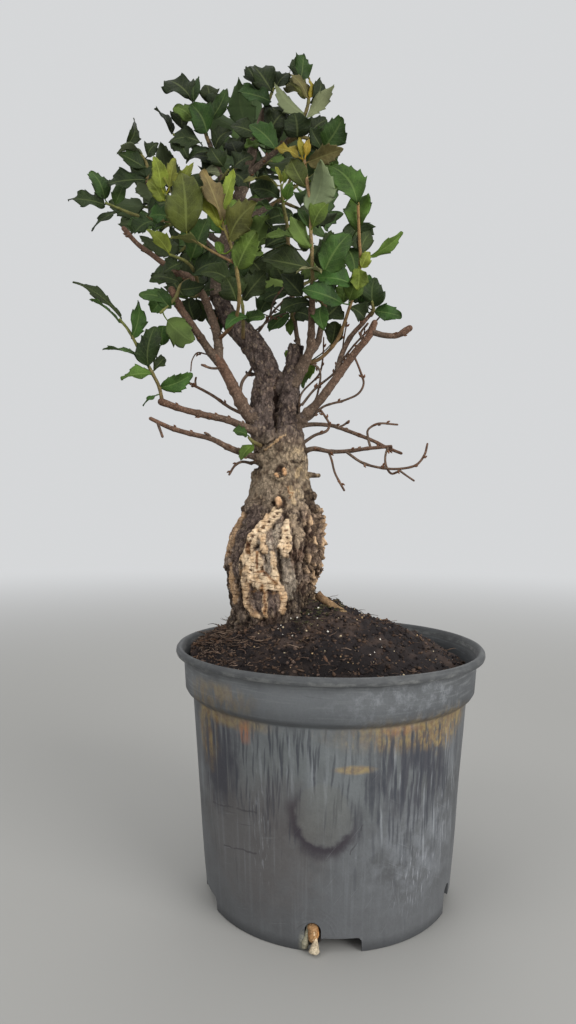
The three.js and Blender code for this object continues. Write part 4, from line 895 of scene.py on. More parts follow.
# %% Turn the pot
POT_SIDES = 288
LONGEST_POT_ROW = 6.5
POT_PROFILE = [
    (0.5, 0.0), (30, 0.0), (62.5, 0.0), (64.3, 0.8), (65.6, 5.4), (67.2, 7.6), (70, 8.0), (85.2, 8.0), (85.6, 7.2),
    (85.6, 0.7), (86.1, 0.0), (87.8, 0.0), (88.5, 0.8), (89.6, 16.0), (92.2, 50.0), (95.5, 95.0), (98.4, 134.0),
    (99.1, 142.4), (100.4, 144.2), (103.2, 146.0), (104.6, 148.4), (105.1, 156.0), (105.9, 167.6), (106.4, 170.0),
    (107.6, 171.0), (109.8, 171.2), (111.4, 171.8), (111.9, 173.2), (111.7, 175.2), (110.6, 176.7), (109.4, 177.0),
    (108.2, 176.6), (106.8, 174.8), (104.6, 169.6), (103.4, 166.0), (102.2, 150.4), (100.6, 147.6), (97.6, 144.4),
    (96.9, 141.0), (93.6, 96.0), (90.3, 51.0), (87.2, 12.0), (85.6, 10.2), (68.0, 10.0), (66.0, 9.4),
    (63.4, 3.0), (61.0, 2.0),
    (30, 2.0), (0.5, 2.0),
]


def turned_rows(profile, longest):
    """More rows where the profile has long straight runs."""
    rows = [profile[0]]
    for (r0, z0), (r1, z1) in zip(profile, profile[1:]):
        pieces = max(1, round(math.hypot(r1 - r0, z1 - z0) / longest))
        rows += [(r0 + (r1 - r0) * k / pieces, z0 + (z1 - z0) * k / pieces) for k in range(1, pieces + 1)]
    return np.array(rows)


rows = turned_rows(POT_PROFILE, LONGEST_POT_ROW)
angle = np.linspace(0, 2 * math.pi, POT_SIDES, endpoint=False)
radius = rows[:, 0][:, None] * np.ones(POT_SIDES)[None, :]
height = rows[:, 1][:, None] * np.ones(POT_SIDES)[None, :]
ring = np.stack([np.cos(angle)[None, :] * radius, np.sin(angle)[None, :] * radius, height], axis=-1)
swell = noise(ring.reshape(-1, 3), 42.0, 3).reshape(radius.shape) * 0.45 + 0.25 * np.sin(2 * angle + 0.7)[None, :]
swell = swell * ease(height, 2.0, 30.0) * (radius < 109.5)
ring[..., 0] += np.cos(angle)[None, :] * swell
ring[..., 1] += np.sin(angle)[None, :] * swell
pot_groups = [grid_faces(len(rows), POT_SIDES, True)] + closing_faces(len(rows), angle, 0.01)
run_length = np.linalg.norm(np.diff(rows, axis=0), axis=1).sum()
pot_pile = Pile()
pot_pile.add(ring.reshape(-1, 3), pot_groups, (2 * math.pi * WALL_RADIUS, run_length), (0.5, 0.5, 0.5))
nursery_pot = build(pot_pile, "nursery_pot_shell", [pot_plastic_material], ["nursery_pot"])

# %% Cut the drains
DRAIN_COUNT = 5
ARCH = {"turn": math.radians(-95.4), "width": 10.4, "height": 19.0}
NOTCH = {"turn": math.radians(-84.2), "width": 27.0, "height": 9.5}
CUT_FROM_TO = (-100.0, -72.0)


def drain_cutter(shape, turn, arched):
    half, height = shape["width"] / 2, shape["height"]
    if arched:
        bends = np.linspace(0, math.pi, 13)
        outline = [(-half, -2.0), (half, -2.0)]
        outline += [(half * math.cos(b), height - half + half * math.sin(b)) for b in bends]
    else:
        outline = [(-half, -2.0), (half, -2.0), (half, height - 2.5), (half - 1.6, height - 0.4), (half - 3.2, height),
                   (3.2 - half, height), (1.6 - half, height - 0.4), (-half, height - 2.5)]
    count = len(outline)
    points = [(x, y, z) for y in CUT_FROM_TO for x, z in outline]
    ahead, aside = math.cos(turn), math.sin(turn)
    turned = [(x * ahead - y * aside, x * aside + y * ahead, z) for x, y, z in points]
    faces = [tuple(range(count)), tuple(range(2 * count - 1, count - 1, -1))]
    faces += [(k, count + k, count + (k + 1) % count, (k + 1) % count) for k in range(count)]
    return turned, faces


cut_points, cut_faces = [], []
for k in range(DRAIN_COUNT):
    for shape, arched in ((ARCH, True), (NOTCH, False)):
        points, faces = drain_cutter(shape, shape["turn"] + math.pi / 2 + k * 2 * math.pi / DRAIN_COUNT, arched)
        cut_faces.append([tuple(len(cut_points) + i for i in face) for face in faces])
        cut_points += points
arches = to_scene("drain_arches", cut_points, [f for faces in cut_faces[0::2] for f in faces], [])
notches = to_scene("drain_notches", cut_points, [f for faces in cut_faces[1::2] for f in faces], [])
for cutter in (arches, notches):
    cut = nursery_pot.modifiers.new("drain", "BOOLEAN")
    cut.operation = "DIFFERENCE"
    cut.solver = "EXACT"
    cut.object = cutter
depsgraph = bpy.context.evaluated_depsgraph_get()
drained = bpy.data.meshes.new_from_object(nursery_pot.evaluated_get(depsgraph))
nursery_pot.modifiers.clear()
nursery_pot.data = drained
for cutter in (arches, notches):
    bpy.data.objects.remove(cutter)
drained.set_sharp_from_angle(angle=math.radians(40))
print("faces on the drained pot:", len(drained.polygons))

# %% [markdown]
# ## The potting mix
#
# The mix is heaped against the trunk and falls away to the pot's wall, lowest at the right and the
# front. One round sheet, laid out in circles about the trunk, gives the heap. Noise in three sizes
# makes clods and crumbs of it. Loose crumbs, dry fibres and white perlite grains are then scattered
# over it as small meshes, because a bumpy sheet alone still looks like a sheet.

# %% The heap's height
TRUNK_X = -41.0
MIX_AT_TRUNK = [216, 203, 189, 199]
MIX_AT_WALL = [161, 170, 173, 165]
MIX_WALL_RADIUS = 101.6
TRUNK_FOOT_RADIUS = 26.0


def around(values, turn):
    place = (turn / (2 * math.pi) * len(values)) % len(values)
    first = np.floor(place).astype(int) % len(values)
    share = 0.5 - 0.5 * np.cos(math.pi * (place - np.floor(place)))
    values = np.array(values, float)
    return values[first] * (1 - share) + values[(first + 1) % len(values)] * share


def heap(turn, share):
    """Points of the heap: share is 0 at the trunk's foot and 1 at the pot's wall."""
    turn, share = np.broadcast_arrays(turn, share)
    along = TRUNK_X * np.cos(turn)
    to_wall = np.sqrt(MIX_WALL_RADIUS**2 - TRUNK_X**2 + along**2) - along
    distance = TRUNK_FOOT_RADIUS + (to_wall - TRUNK_FOOT_RADIUS) * share
    fall = 0.1 * (1 - np.exp(-12 * share)) + 0.65 * share + 0.25 * share**3
    top = around(MIX_AT_TRUNK, turn) * (1 - fall) + around(MIX_AT_WALL, turn) * fall
    points = np.stack([TRUNK_X + distance * np.cos(turn), distance * np.sin(turn), top], axis=-1)
    flat = points.reshape(-1, 3)
    lumps = 3.4 * layers(flat, 17.0, 2, 5) + 2.6 * layers(flat, 6.0, 3, 9) + 2.4 * np.abs(noise(flat, 3.0, 13))
    lumps += 0.9 * noise(flat, 1.5, 21)
    points[..., 2] += lumps.reshape(share.shape) - 1.2
    return points


HEAP_TURNS, HEAP_STEPS = 260, 96
turn = np.linspace(0, 2 * math.pi, HEAP_TURNS, endpoint=False)[None, :]
share = np.linspace(0, 1, HEAP_STEPS)[:, None]
heap_top = heap(turn, share)
print("the heap reaches from", round(heap_top[..., 2].min(), 1), "to", round(heap_top[..., 2].max(), 1), "mm")

# %% The mix in the pot
NEARLY_BLACK = colour(41, 37, 37)
DRY_BROWN = colour(86, 72, 64)
RED_BROWN = colour(98, 76, 62)
mix_pile = Pile()
skirt_radii = [101.2, 99.0, 96.0, 85.2, 67.0, 62.5, 20.0]
skirt_heights = [160.0, 154.0, 140.0, 10.4, 10.4, 2.4, 2.4]
skirt = np.stack([np.stack([r * np.cos(turn[0]), r * np.sin(turn[0]), np.full(HEAP_TURNS, z)], axis=-1)
                  for r, z in zip(skirt_radii, skirt_heights)])
under_trunk = np.stack([TRUNK_X + 5 * np.cos(turn[0]), 5 * np.sin(turn[0]), np.full(HEAP_TURNS, 196.0)], axis=-1)[None]
whole = np.concatenate([under_trunk, heap_top, skirt])[::-1]
mix_groups = [grid_faces(len(whole), HEAP_TURNS, True)] + closing_faces(len(whole), turn[0], 0.01)
flat = whole.reshape(-1, 3)
dry = ease(layers(flat, 14.0, 3, 31), 0.0, 0.6)[:, None]
red = (ease(noise(flat, 22.0, 35), 0.1, 0.7) * ease(-flat[:, 0], 20, 80))[:, None]
tint = np.array(NEARLY_BLACK) * (1 - dry * 0.5) + np.array(DRY_BROWN) * dry * 0.5
tint = tint * (1 - red * 0.4) + np.array(RED_BROWN) * red * 0.4
# Painted shadow: the mix just inside the front of the rim is darkened, where the rim shades it.
from_rim_shadow = np.hypot((flat[:, 0] + 5) / 62, (flat[:, 1] + 84) / 24) + 0.3 * noise(flat, 12.0, 37)
darker = (1 - ease(from_rim_shadow, 0.5, 1.2))[:, None]
tint = tint * (1 - 0.45 * darker)
mix_pile.add(flat, mix_groups, (560.0, 300.0), tint)
print("faces on the heap:", len(mix_pile.faces))

# %% Crumbs, fibres, bark bits and perlite
CRUMBS, PERLITE_GRAINS, BARK_BITS, FIBRES, MOSS_SHREDS = 2900, 110, 120, 1250, 140
CRUMB_BROWNS = (NEARLY_BLACK, NEARLY_BLACK, DRY_BROWN, colour(64, 52, 45), colour(52, 45, 41),
                colour(84, 68, 57))
FIBRE_REACH = 99.5
chance = random.Random(7)
GOLD = (1 + math.sqrt(5)) / 2
BALL = np.array([(-1, GOLD, 0), (1, GOLD, 0), (-1, -GOLD, 0), (1, -GOLD, 0), (0, -1, GOLD), (0, 1, GOLD),
                 (0, -1, -GOLD), (0, 1, -GOLD), (GOLD, 0, -1), (GOLD, 0, 1), (-GOLD, 0, -1), (-GOLD, 0, 1)]) / 1.9
BALL_FACES = [(0, 11, 5), (0, 5, 1), (0, 1, 7), (0, 7, 10), (0, 10, 11), (1, 5, 9), (5, 11, 4), (11, 10, 2), (10, 7, 6),
              (7, 1, 8), (3, 9, 4), (3, 4, 2), (3, 2, 6), (3, 6, 8), (3, 8, 9), (4, 9, 5), (2, 4, 11), (6, 2, 10),
              (8, 6, 7), (9, 8, 1)]
BALL_CORNERS = [[(0.0, 0.0), (1.0, 0.0), (0.5, 1.0)]] * len(BALL_FACES)


def on_heap(turn, share):
    return heap(np.array([turn]), np.array([share]))[0]


def pebble(place, size, tint, squash=(1.0, 1.0, 1.0)):
    """A small angular grain."""
    jolt = np.array([[chance.uniform(0.7, 1.3)] for _ in BALL])
    spin = Matrix.Rotation(chance.uniform(0, 6.28), 3, (chance.uniform(-1, 1), chance.uniform(-1, 1), 1))
    points = (BALL * jolt * np.array(squash) * size) @ np.array(spin) + place
    mix_pile.add(points, [(BALL_FACES, BALL_CORNERS)], (size, size), tint)


for k in range(CRUMBS):
    turn_here = chance.gauss(-0.9, 0.9) if k % 3 else chance.uniform(0, 6.283)
    share_here = chance.uniform(0.0, 1.0) ** 0.7
    size = chance.choice((0.5, 0.6, 0.7, 0.8, 1.0, 1.2, 1.6))
    brown = chance.choice(CRUMB_BROWNS)
    pebble(on_heap(turn_here, share_here) + [0, 0, 0.2 * size], size, brown, (1.0, chance.uniform(0.6, 1.0), 0.7))
for _ in range(PERLITE_GRAINS):
    turn_here, share_here = chance.gauss(-0.5, 0.8), chance.uniform(0.0, 0.95) ** 1.4
    size = chance.choice((0.35, 0.45, 0.6, 0.8))
    pale = chance.choice((colour(222, 216, 204), colour(188, 170, 140), colour(170, 144, 110)))
    pebble(on_heap(turn_here, share_here) + [0, 0, 0.5], size, pale)
for k in range(BARK_BITS):
    turn_here = chance.gauss(-2.5, 0.6) if k % 2 else chance.uniform(0, 6.283)
    share_here = chance.uniform(0.1, 1.0)
    size = chance.uniform(1.2, 2.6)
    brown = chance.choice((RED_BROWN, colour(92, 75, 63), colour(70, 56, 48)))
    pebble(on_heap(turn_here, share_here) + [0, 0, 0.5], size, brown, (1.5, 0.7, 0.3))
print("grains so far:", len(mix_pile.charts) - 1)


def fibre(place, length, radius, tint):
    heading = chance.uniform(0, 6.283)
    points = [np.array(place) + [0, 0, 0.5]]
    step = length / 3
    for _ in range(3):
        heading += chance.uniform(-0.8, 0.8)
        way = [math.cos(heading), math.sin(heading), chance.uniform(-0.3, 0.42)]
        points.append(points[-1] + step * np.array(way))
    reach = max(math.hypot(p[0], p[1]) for p in points)
    if reach > FIBRE_REACH:
        return
    mix_pile.add(*tube(points, [radius, radius * 0.8, radius * 0.4], sides=4, pitch=2.4, tip=((0.5, 0.3),)), tint)


for k in range(FIBRES):
    left = k % 2
    turn_here = chance.gauss(-2.5, 0.6) if left else chance.uniform(0, 6.283)
    share_here = chance.uniform(0.15, 1.0) if left else chance.uniform(0.0, 1.0)
    dry = (colour(120, 101, 86), colour(138, 118, 102), colour(98, 80, 69))
    darker = (colour(74, 61, 53), colour(58, 49, 44), colour(94, 78, 67))
    brown = chance.choice(dry + darker if left else darker)
    fibre(on_heap(turn_here, share_here), chance.uniform(3, 13), chance.uniform(0.14, 0.36), brown)
for _ in range(MOSS_SHREDS):
    brown = chance.choice((colour(84, 84, 58), colour(66, 68, 48), colour(104, 98, 74)))
    fibre(on_heap(chance.gauss(-0.5, 0.35), chance.uniform(0.0, 0.22)), chance.uniform(2, 5), 0.3, brown)
build(mix_pile, "potting_mix_heap", [potting_mix], ["potting_mix"])

# %% [markdown]
# ## The trunk
#
# Cork oak makes its own armour: ridges of cork, parted by deep upright furrows, cracked across, cream
# where they have weathered and nearly black inside. The neck above is still smooth and grey. The form
# comes first: tubes for the swollen foot, the limbs and the knobs are put together and remeshed, which
# melts them into one skin as growth does. Then every point of that skin is pushed in or out and given
# a colour by the patterns of the bark.

# %% The form of the trunk
SKIN_GRID_METRES = 0.00084
TRUNK_OUTLINE = [
    (160, -75, -9), (178, -77, -6), (190, -76.5, -5), (200, -74.5, -7.5), (212, -76, -11.5), (222, -78.5, -11.5),
    (230, -79, -9), (240, -76.5, -6.5), (248, -75, -3.6), (256, -71, -3.2), (263, -68, -4.5), (270, -66, -5.5),
    (277, -65, -8.5), (283, -62, -11), (290, -60, -14), (297, -58, -15), (302, -56.5, -16), (306, -51.5, -16.5),
    (311, -50.5, -17), (318, -53, -18), (325, -55.5, -19.5), (332, -57, -21),
]
TRUNK_LIMBS = [
    ([(-46, 318, 0), (-50, 338, 0), (-50.5, 356, 0), (-47.5, 375, 0), (-54, 390, 0), (-64, 403, 2), (-77, 417, 5),
      (-84, 434, 8), (-84, 440, 9)], [12, 10.4, 9.8, 10.2, 9.8, 9.2, 8.0, 6.6, 6.2]),
    ([(-34, 318, 0), (-32, 340, 0), (-31.5, 358, 0), (-29, 378, 0), (-26.4, 396, 0)], [11, 9, 8.2, 7.0, 5.6]),
    ([(-48, 299, -3), (-59, 300, -4)], [5.5, 3.4]),
    ([(-44, 310, 0), (-61, 309, -2)], [3.4, 2.0]),
    ([(-22, 300.5, -2), (-8, 300.5, -4)], [2.5, 2.0]),
    ([(-55, 276, -2), (-67.5, 274, -4)], [7, 3.0]),
    ([(-38, 372, 6), (-64, 376, 10)], [2.6, 1.8]),
    ([(-20, 284, -6), (-11, 285, -8)], [5.5, 3.4]),
    ([(-20, 268, -10), (-5, 271, -12)], [7, 3.8]),
    ([(-16, 234, -12), (-5, 229, -14)], [6, 2.4]),
    ([(-51, 336, -4), (-63, 347, -8)], [6.4, 4.8]),
    ([(-50, 331, -4), (-62, 335, -10)], [5.0, 3.4]),
    ([(-29, 334, -4), (-19, 345, -8)], [5.6, 4.0]),
    ([(-47, 311, -8), (-56, 314, -12)], [4.0, 2.8]),
    ([(-38, 298, -17), (-38, 300, -23)], [5.5, 3.6]),
    ([(-38, 280, -20), (-38, 280, -27)], [5.0, 3.0]),
    ([(-30, 366, -2), (-25, 375, -4)], [6.0, 5.0]),
]
trunk_form = []
outline = np.array(TRUNK_OUTLINE, float)
centres = [(0.5 * (left + rightmost), 0, height) for height, left, rightmost in TRUNK_OUTLINE]
half_widths = list(0.5 * (outline[:, 2] - outline[:, 1]))
trunk_form.append(tube(centres, half_widths, sides=40, pitch=3.0, tip=CUT_TIP))
for places, radii in TRUNK_LIMBS:
    trunk_form.append(tube(spots(places), radii, sides=16, pitch=2.0, tip=CUT_TIP))
form = Pile()
for points, groups, size in trunk_form:
    form.add(points, groups, size, (0.5, 0.5, 0.5))
rough_trunk = to_scene("trunk_form", np.concatenate(form.points), form.faces, [])
melt = rough_trunk.modifiers.new("melt", "REMESH")
melt.mode = "VOXEL"
melt.voxel_size = SKIN_GRID_METRES
ease_off = rough_trunk.modifiers.new("ease", "SMOOTH")
ease_off.factor = 0.5
ease_off.iterations = 6
depsgraph = bpy.context.evaluated_depsgraph_get()
skin = bpy.data.meshes.new_from_object(rough_trunk.evaluated_get(depsgraph))
bpy.data.objects.remove(rough_trunk)
trunk_points = np.empty(len(skin.vertices) * 3, np.float32)
skin.vertices.foreach_get("co", trunk_points)
trunk_points = trunk_points.reshape(-1, 3).astype(float) * 1000
trunk_normals = np.empty(len(skin.vertices) * 3, np.float32)
skin.vertices.foreach_get("normal", trunk_normals)
trunk_normals = trunk_normals.reshape(-1, 3).astype(float)
trunk_faces = [tuple(face.vertices) for face in skin.polygons]
print("points on the trunk's skin:", len(trunk_points), "up to", round(trunk_points[:, 2].max(), 1), "mm")

# %% [markdown]
# ## Bark patterns
#
# A furrow is a long cell: the cracked-plate pattern, stretched upright and bent by noise. Cork ridges
# get a second, finer set of cracks that run level. On top of this, the marks that make this tree this
# tree are drawn as strokes on the upright sheet: each stroke is a chain of circles, with a colour, how
# far it stands out or lies back, and how ragged its edge is.

# %% Strokes on the front of the trunk
CREAM = colour(216, 189, 150)
PALE_TAN = colour(204, 172, 132)
TAN = colour(174, 144, 110)
FLAKE = colour(204, 168, 126)
NECK = colour(146, 130, 110)
GREY_CORK = colour(146, 132, 112)
DARK_SKIN = colour(86, 73, 65)
PIT = colour(46, 33, 27)
RUST = colour(130, 90, 60)
RED_BARK = colour(108, 80, 61)
LIGHT, PANEL, GROOVE = "light", "panel", "groove"
BARK_STROKES = [
    # kind, colour, rise in mm, ragged, [(across, height, radius), ...]
    (PANEL, DARK_SKIN, 0.9, 0.9, [(-56, 273, 5), (-58, 265, 7), (-61, 257, 6)]),
    (PANEL, DARK_SKIN, 0.8, 0.9, [(-67, 257, 4), (-68.5, 248, 4.6), (-69, 238, 5), (-68, 228, 4)]),
    (PANEL, GREY_CORK, 0.5, 1.0, [(-50, 262, 3), (-50, 254, 4.5), (-47, 246, 5.5), (-43, 238, 5.5), (-45, 230, 5)]),
    (PANEL, GREY_CORK, 0.3, 1.0, [(-38, 262, 4), (-39, 255, 3.5), (-35, 238, 5), (-32, 228, 5.5), (-28, 219, 5)]),
    (PANEL, colour(150, 130, 104), 0.2, 1.8, [(-27, 268, 3), (-24, 260, 4), (-23, 250, 3.5)]),
    (PANEL, GREY_CORK, 0.8, 1.0, [(-31, 219, 5), (-29.5, 213, 4.8)]),
    (PANEL, colour(66, 56, 50), 0.0, 1.0, [(-24.5, 395, 5), (-27, 384, 6), (-29, 374, 5)]),
    (LIGHT, TAN, 0.8, 1.0, [(-65, 271, 1.4), (-69, 262, 1.6), (-72.5, 255, 1.7), (-75.5, 246, 1.7), (-76.5, 240, 1.4)]),
    (LIGHT, TAN, 0.7, 1.1, [(-74, 234, 1.4), (-73, 226, 1.7), (-72, 216, 2.0), (-70, 206, 1.9)]),
    (LIGHT, CREAM, 1.6, 0.8, [(-39.7, 274.5, 3.6), (-44, 268.5, 4), (-49, 262.5, 4), (-54, 257, 4), (-58, 251, 3.8),
                              (-60.5, 244, 3.6), (-62, 236, 3.8), (-63, 229, 4), (-63.5, 221, 3.6)]),
    (LIGHT, PALE_TAN, 1.3, 0.8,
     [(-63.5, 218, 3.4), (-62.5, 212, 3.2), (-60.5, 204, 3.0), (-57, 197.5, 2.6), (-52.5, 194.5, 2)]),
    (LIGHT, CREAM, 1.3, 0.8,
     [(-55, 240, 4), (-56, 233, 5.4), (-56, 226, 6.4), (-52, 221, 6.6), (-46, 221, 5.4), (-41, 219, 4.4)]),
    (LIGHT, CREAM, 1.6, 0.8, [(-31.8, 266, 2), (-33, 258, 3.4), (-33.5, 252, 4.6), (-33.5, 247, 5.4), (-33, 242, 3)]),
    (LIGHT, PALE_TAN, 1.0, 0.8, [(-49, 255, 1.8), (-49.5, 249, 2.7), (-49, 243, 2.3)]),
    (LIGHT, CREAM, 0.9, 1.0, [(-43, 243, 1.8), (-41.5, 236, 2.3), (-40.5, 228, 2.6), (-38, 220, 3.2)]),
    (LIGHT, PALE_TAN, 1.2, 0.8, [(-38, 218, 3.0), (-34.5, 212, 3.0), (-33.5, 205, 2.8), (-36, 199, 2.4)]),
    (PANEL, DARK_SKIN, 0.3, 0.5, [(-56, 212, 3.8), (-55.5, 206, 4.8), (-54, 200, 4)]),
    (PANEL, DARK_SKIN, 0.3, 0.5, [(-43, 212, 4), (-42, 206, 4.8), (-42, 200, 4)]),
    (LIGHT, PALE_TAN, 0.5, 0.9, [(-48.6, 217, 1.6), (-48.4, 208, 1.7), (-47.8, 200, 1.6), (-47, 195, 1.2)]),
    (GROOVE, RUST, -0.5, 0.9, [(-54, 244, 0.8), (-53.6, 238, 1.0), (-53.8, 231, 0.9)]),
    (GROOVE, RUST, -0.5, 0.9, [(-50, 219, 0.8), (-48.8, 211, 0.9), (-48, 203, 0.9), (-47.5, 197, 0.8)]),
    (GROOVE, RUST, -0.3, 0.9, [(-56, 228, 0.7), (-49, 229, 0.8), (-44, 224, 0.9), (-40, 221, 0.7)]),
    (GROOVE, RUST, -0.2, 0.8, [(-60, 249, 1.8), (-60.5, 243, 1.6)]),
    (GROOVE, PIT, -2.2, 0.8, [(-38.5, 246, 1.0), (-38, 238, 1.5), (-37, 230, 1.7), (-35, 222, 1.3)]),
    (GROOVE, PIT, -1.6, 0.8, [(-65, 236, 1.0), (-66, 228, 1.2), (-66.5, 219, 1.4), (-66.5, 208, 1.5), (-65, 200, 1.6)]),
    (GROOVE, PIT, -1.4, 0.8, [(-76.5, 232, 1.6), (-78, 222, 2.4), (-77, 212, 3), (-75, 202, 3)]),
    (GROOVE, PIT, -1.4, 0.9, [(-27, 256, 0.9), (-26, 246, 1.2), (-25, 236, 1.3), (-24, 224, 1.2)]),
    (GROOVE, PIT, -1.4, 1.0, [(-17, 264, 1.2), (-16, 252, 1.5), (-17, 243, 1.3), (-20, 232, 1.2)]),
    (GROOVE, PIT, -1.8, 0.8, [(-17, 288, 2.4), (-14, 281, 3.0), (-11, 274, 2.6)]),
    (GROOVE, PIT, -1.2, 0.5,
     [(-43, 280.5, 1.3), (-39, 276.6, 1.4), (-34, 279.5, 1.8), (-34.5, 284, 1.3), (-38, 285, 0.8)]),
    (LIGHT, colour(214, 172, 132), 1.5, 0.2, [(-38.6, 281, 2.7)]),
    (GROOVE, PIT, -1.6, 0.6, [(-41, 304, 1.6), (-37.5, 305, 2.6), (-35.5, 301.5, 2.4), (-39, 299, 1.4)]),
    (LIGHT, colour(206, 160, 118), 0.5, 0.4, [(-40.6, 300.6, 1.3), (-39.8, 299.4, 1.0)]),
    (LIGHT, colour(206, 160, 118), 0.5, 0.4, [(-34.8, 304.4, 1.2), (-33.8, 302.4, 1.0)]),
    (PANEL, colour(176, 152, 118), 0.4, 0.8, [(-23, 303.5, 2.2), (-25, 300, 1.6)]),
    (PANEL, colour(176, 152, 118), 0.4, 0.7, [(-29.4, 290.5, 2.2), (-28.6, 285, 2.4), (-27.5, 281, 1.8)]),
    (GROOVE, RUST, -0.3, 1.0, [(-31.8, 292, 0.6), (-31.4, 288.2, 0.5), (-28.2, 287.8, 0.5), (-31, 283.5, 0.5)]),
    (LIGHT, PALE_TAN, 0.5, 1.4,
     [(-49.5, 319, 0.5), (-46, 321.5, 0.8), (-43, 322.5, 0.6), (-39.5, 326, 0.9), (-34, 330, 0.5)]),
    (GROOVE, PIT, -0.6, 1.2, [(-30, 310.4, 0.8), (-25, 309.8, 0.7), (-19.5, 310.8, 0.9)]),
    (GROOVE, PIT, -0.6, 1.2, [(-52, 322, 0.7), (-46, 324, 0.8), (-42, 327, 0.6)]),
    (GROOVE, DARK_SKIN, -3.0, 0.4, [(-57, 306.5, 1.6), (-51.5, 305.8, 1.2)]),
    (GROOVE, PIT, -1.4, 0.6, [(-41, 332, 0.9), (-41, 345, 1.0), (-41.5, 358, 1.1), (-40, 372, 1.2)]),
]
PITS = [
    (-39.7, 272.3, 0.9), (-41.7, 269, 1.0), (-45.7, 265, 0.9), (-49, 261, 1.4), (-53, 257.8, 1.0), (-57, 254.5, 1.0),
    (-59, 251.6, 0.8), (-60.2, 247.8, 1.5), (-60.6, 242.6, 1.3), (-32.5, 259.7, 1.1), (-31.8, 254.6, 0.8),
    (-32.1, 250.2, 1.0), (-35, 245.5, 0.7), (-48.3, 249.2, 0.9), (-47.6, 254.4, 0.7), (-58.2, 229.3, 1.0),
    (-39.7, 220.7, 1.3), (-75.4, 242.5, 1.2), (-41, 231, 0.7), (-51.4, 213, 0.8), (-45.6, 214.4, 0.8),
    (-48.3, 203, 0.8), (-47.4, 198.6, 0.7), (-61.6, 222, 0.8), (-52.5, 225, 0.7), (-36, 209, 0.8), (-61, 208, 0.8),
]
BARK_STROKES += [(GROOVE, colour(72, 44, 31), -0.9, 0.9, [pit]) for pit in PITS]


def stroke_reach(across, height, chain):
    """How far each point is from a chain of circles, in shares of their radius: 1 on their edge."""
    best = np.full(len(across), 1e9)
    links = list(zip(chain, chain[1:])) or [(chain[0], chain[0])]
    for (x0, z0, r0), (x1, z1, r1) in links:
        right, up = x1 - x0, z1 - z0
        share = np.clip(((across - x0) * right + (height - z0) * up) / max(right * right + up * up, 1e-6), 0, 1)
        gap = np.hypot(across - x0 - share * right, height - z0 - share * up)
        best = np.minimum(best, gap / (r0 + (r1 - r0) * share))
    return best


def mixed(under, over, share):
    """Colours of points, under to over by each point's share."""
    return np.asarray(under) * (1 - share[:, None]) + np.asarray(over) * share[:, None]


print("strokes on the bark:", len(BARK_STROKES))

# %% Shape and colour the bark all round
across, height = on_sheet(trunk_points)
across = across + 0.9 * noise(trunk_points, 4.6, 161) + 0.35 * noise(trunk_points, 1.9, 162)
height = height + 0.9 * noise(trunk_points, 4.6, 163) + 0.35 * noise(trunk_points, 1.9, 164)
front = ease(-trunk_points[:, 1], -8.0, 1.0)
swollen = 1 - ease(trunk_points[:, 2] + 5 * noise(trunk_points, 9.0, 31), 268.0, 290.0)
on_limbs = ease(trunk_points[:, 2], 318.0, 336.0)
neck = (1 - swollen) * (1 - on_limbs)
bend = np.stack([noise(trunk_points, 14.0, seed) for seed in (41, 42, 43)], axis=1)
bent = trunk_points + bend * 3.2
furrow, plate_name = plates(bent * [1.0, 1.0, 0.34], 7.5, 51)
small_furrow, small_name = plates(bent * [1.0, 1.0, 0.5], 3.2, 61)
chip_edge, chip_name = plates(trunk_points + bend, 2.3, 65)
level_crack, _ = plates(bent * [0.35, 0.35, 1.0], 3.0, 71)
threads = layers(bent * [1.0, 1.0, 0.16], 1.6, 2, 121)
crumble = layers(trunk_points, 5.0, 3, 81)
grit = layers(trunk_points, 2.0, 2, 91)

deep = 1 - ease(furrow, 0.0, 0.24)
shallow = 1 - ease(small_furrow, 0.0, 0.22)
chipped = 1 - ease(chip_edge, 0.0, 0.2)
across_cracks = 1 - ease(level_crack, 0.0, 0.1)
rugged = swollen * (1 - 0.3 * front) + 0.12
rise = rugged * (1.3 * (plate_name - 0.5) - 2.3 * deep + 1.1 * crumble)
rise += (0.9 * swollen + 0.25) * (0.9 * (small_name - 0.5) - 0.9 * shallow)
rise += 0.5 * grit + 0.35 * threads * swollen - 0.5 * swollen * across_cracks
rise += neck * (0.5 * (chip_name - 0.5) + 0.3 * crumble)
rise += on_limbs * (0.4 * (chip_name - 0.5) - 0.2 * chipped + 0.7 * crumble - 0.5 * deep)
ragged_side = swollen * ease(across, -24.0, -12.0)
rise += ragged_side * (2.8 * (small_name - 0.5) + 0.6 * (chip_name - 0.5) + 2.0 * crumble)

BARK_DARK = np.array(colour(82, 68, 58))
BARK_MID = np.array(colour(134, 116, 98))
BARK_LIGHT = np.array(colour(180, 161, 138))
blotch = 0.5 + 0.42 * crumble + 0.3 * grit + 0.28 * threads * swollen + 0.35 * (small_name - 0.5)
tint = mixed(BARK_DARK, BARK_MID, ease(blotch, 0.1, 0.55))
tint = mixed(tint, BARK_LIGHT, ease(blotch, 0.6, 1.05) * 0.8)
tint = mixed(tint, RED_BARK, ease(noise(trunk_points, 11.0, 101), 0.1, 0.6) * swollen * 0.5)
broken = np.maximum(ragged_side, 0.45 * swollen * (1 - front))
flake = ease(small_name + 0.35 * crumble + 0.3 * grit, 0.6, 0.8) * (1 - shallow)
crumbled = mixed(colour(92, 76, 64), colour(160, 134, 108), ease(grit, -0.3, 0.4))
tint = mixed(tint, crumbled, broken * 0.8)
tint = mixed(tint, FLAKE, flake * broken * 0.9)
rise += broken * (0.6 * flake - 0.3 * chipped)
neck_blotch = 0.5 + 0.5 * layers(trunk_points, 6.0, 3, 131) + 0.25 * (chip_name - 0.5)
neck_tint = mixed(colour(88, 73, 60), NECK, ease(neck_blotch, 0.2, 0.6))
# Painted light: pale blotches only on the right side of the neck, where the light falls.
painted_light_right = ease(neck_blotch + 0.3 * grit, 0.45, 0.9) * ease(across, -50, -26)
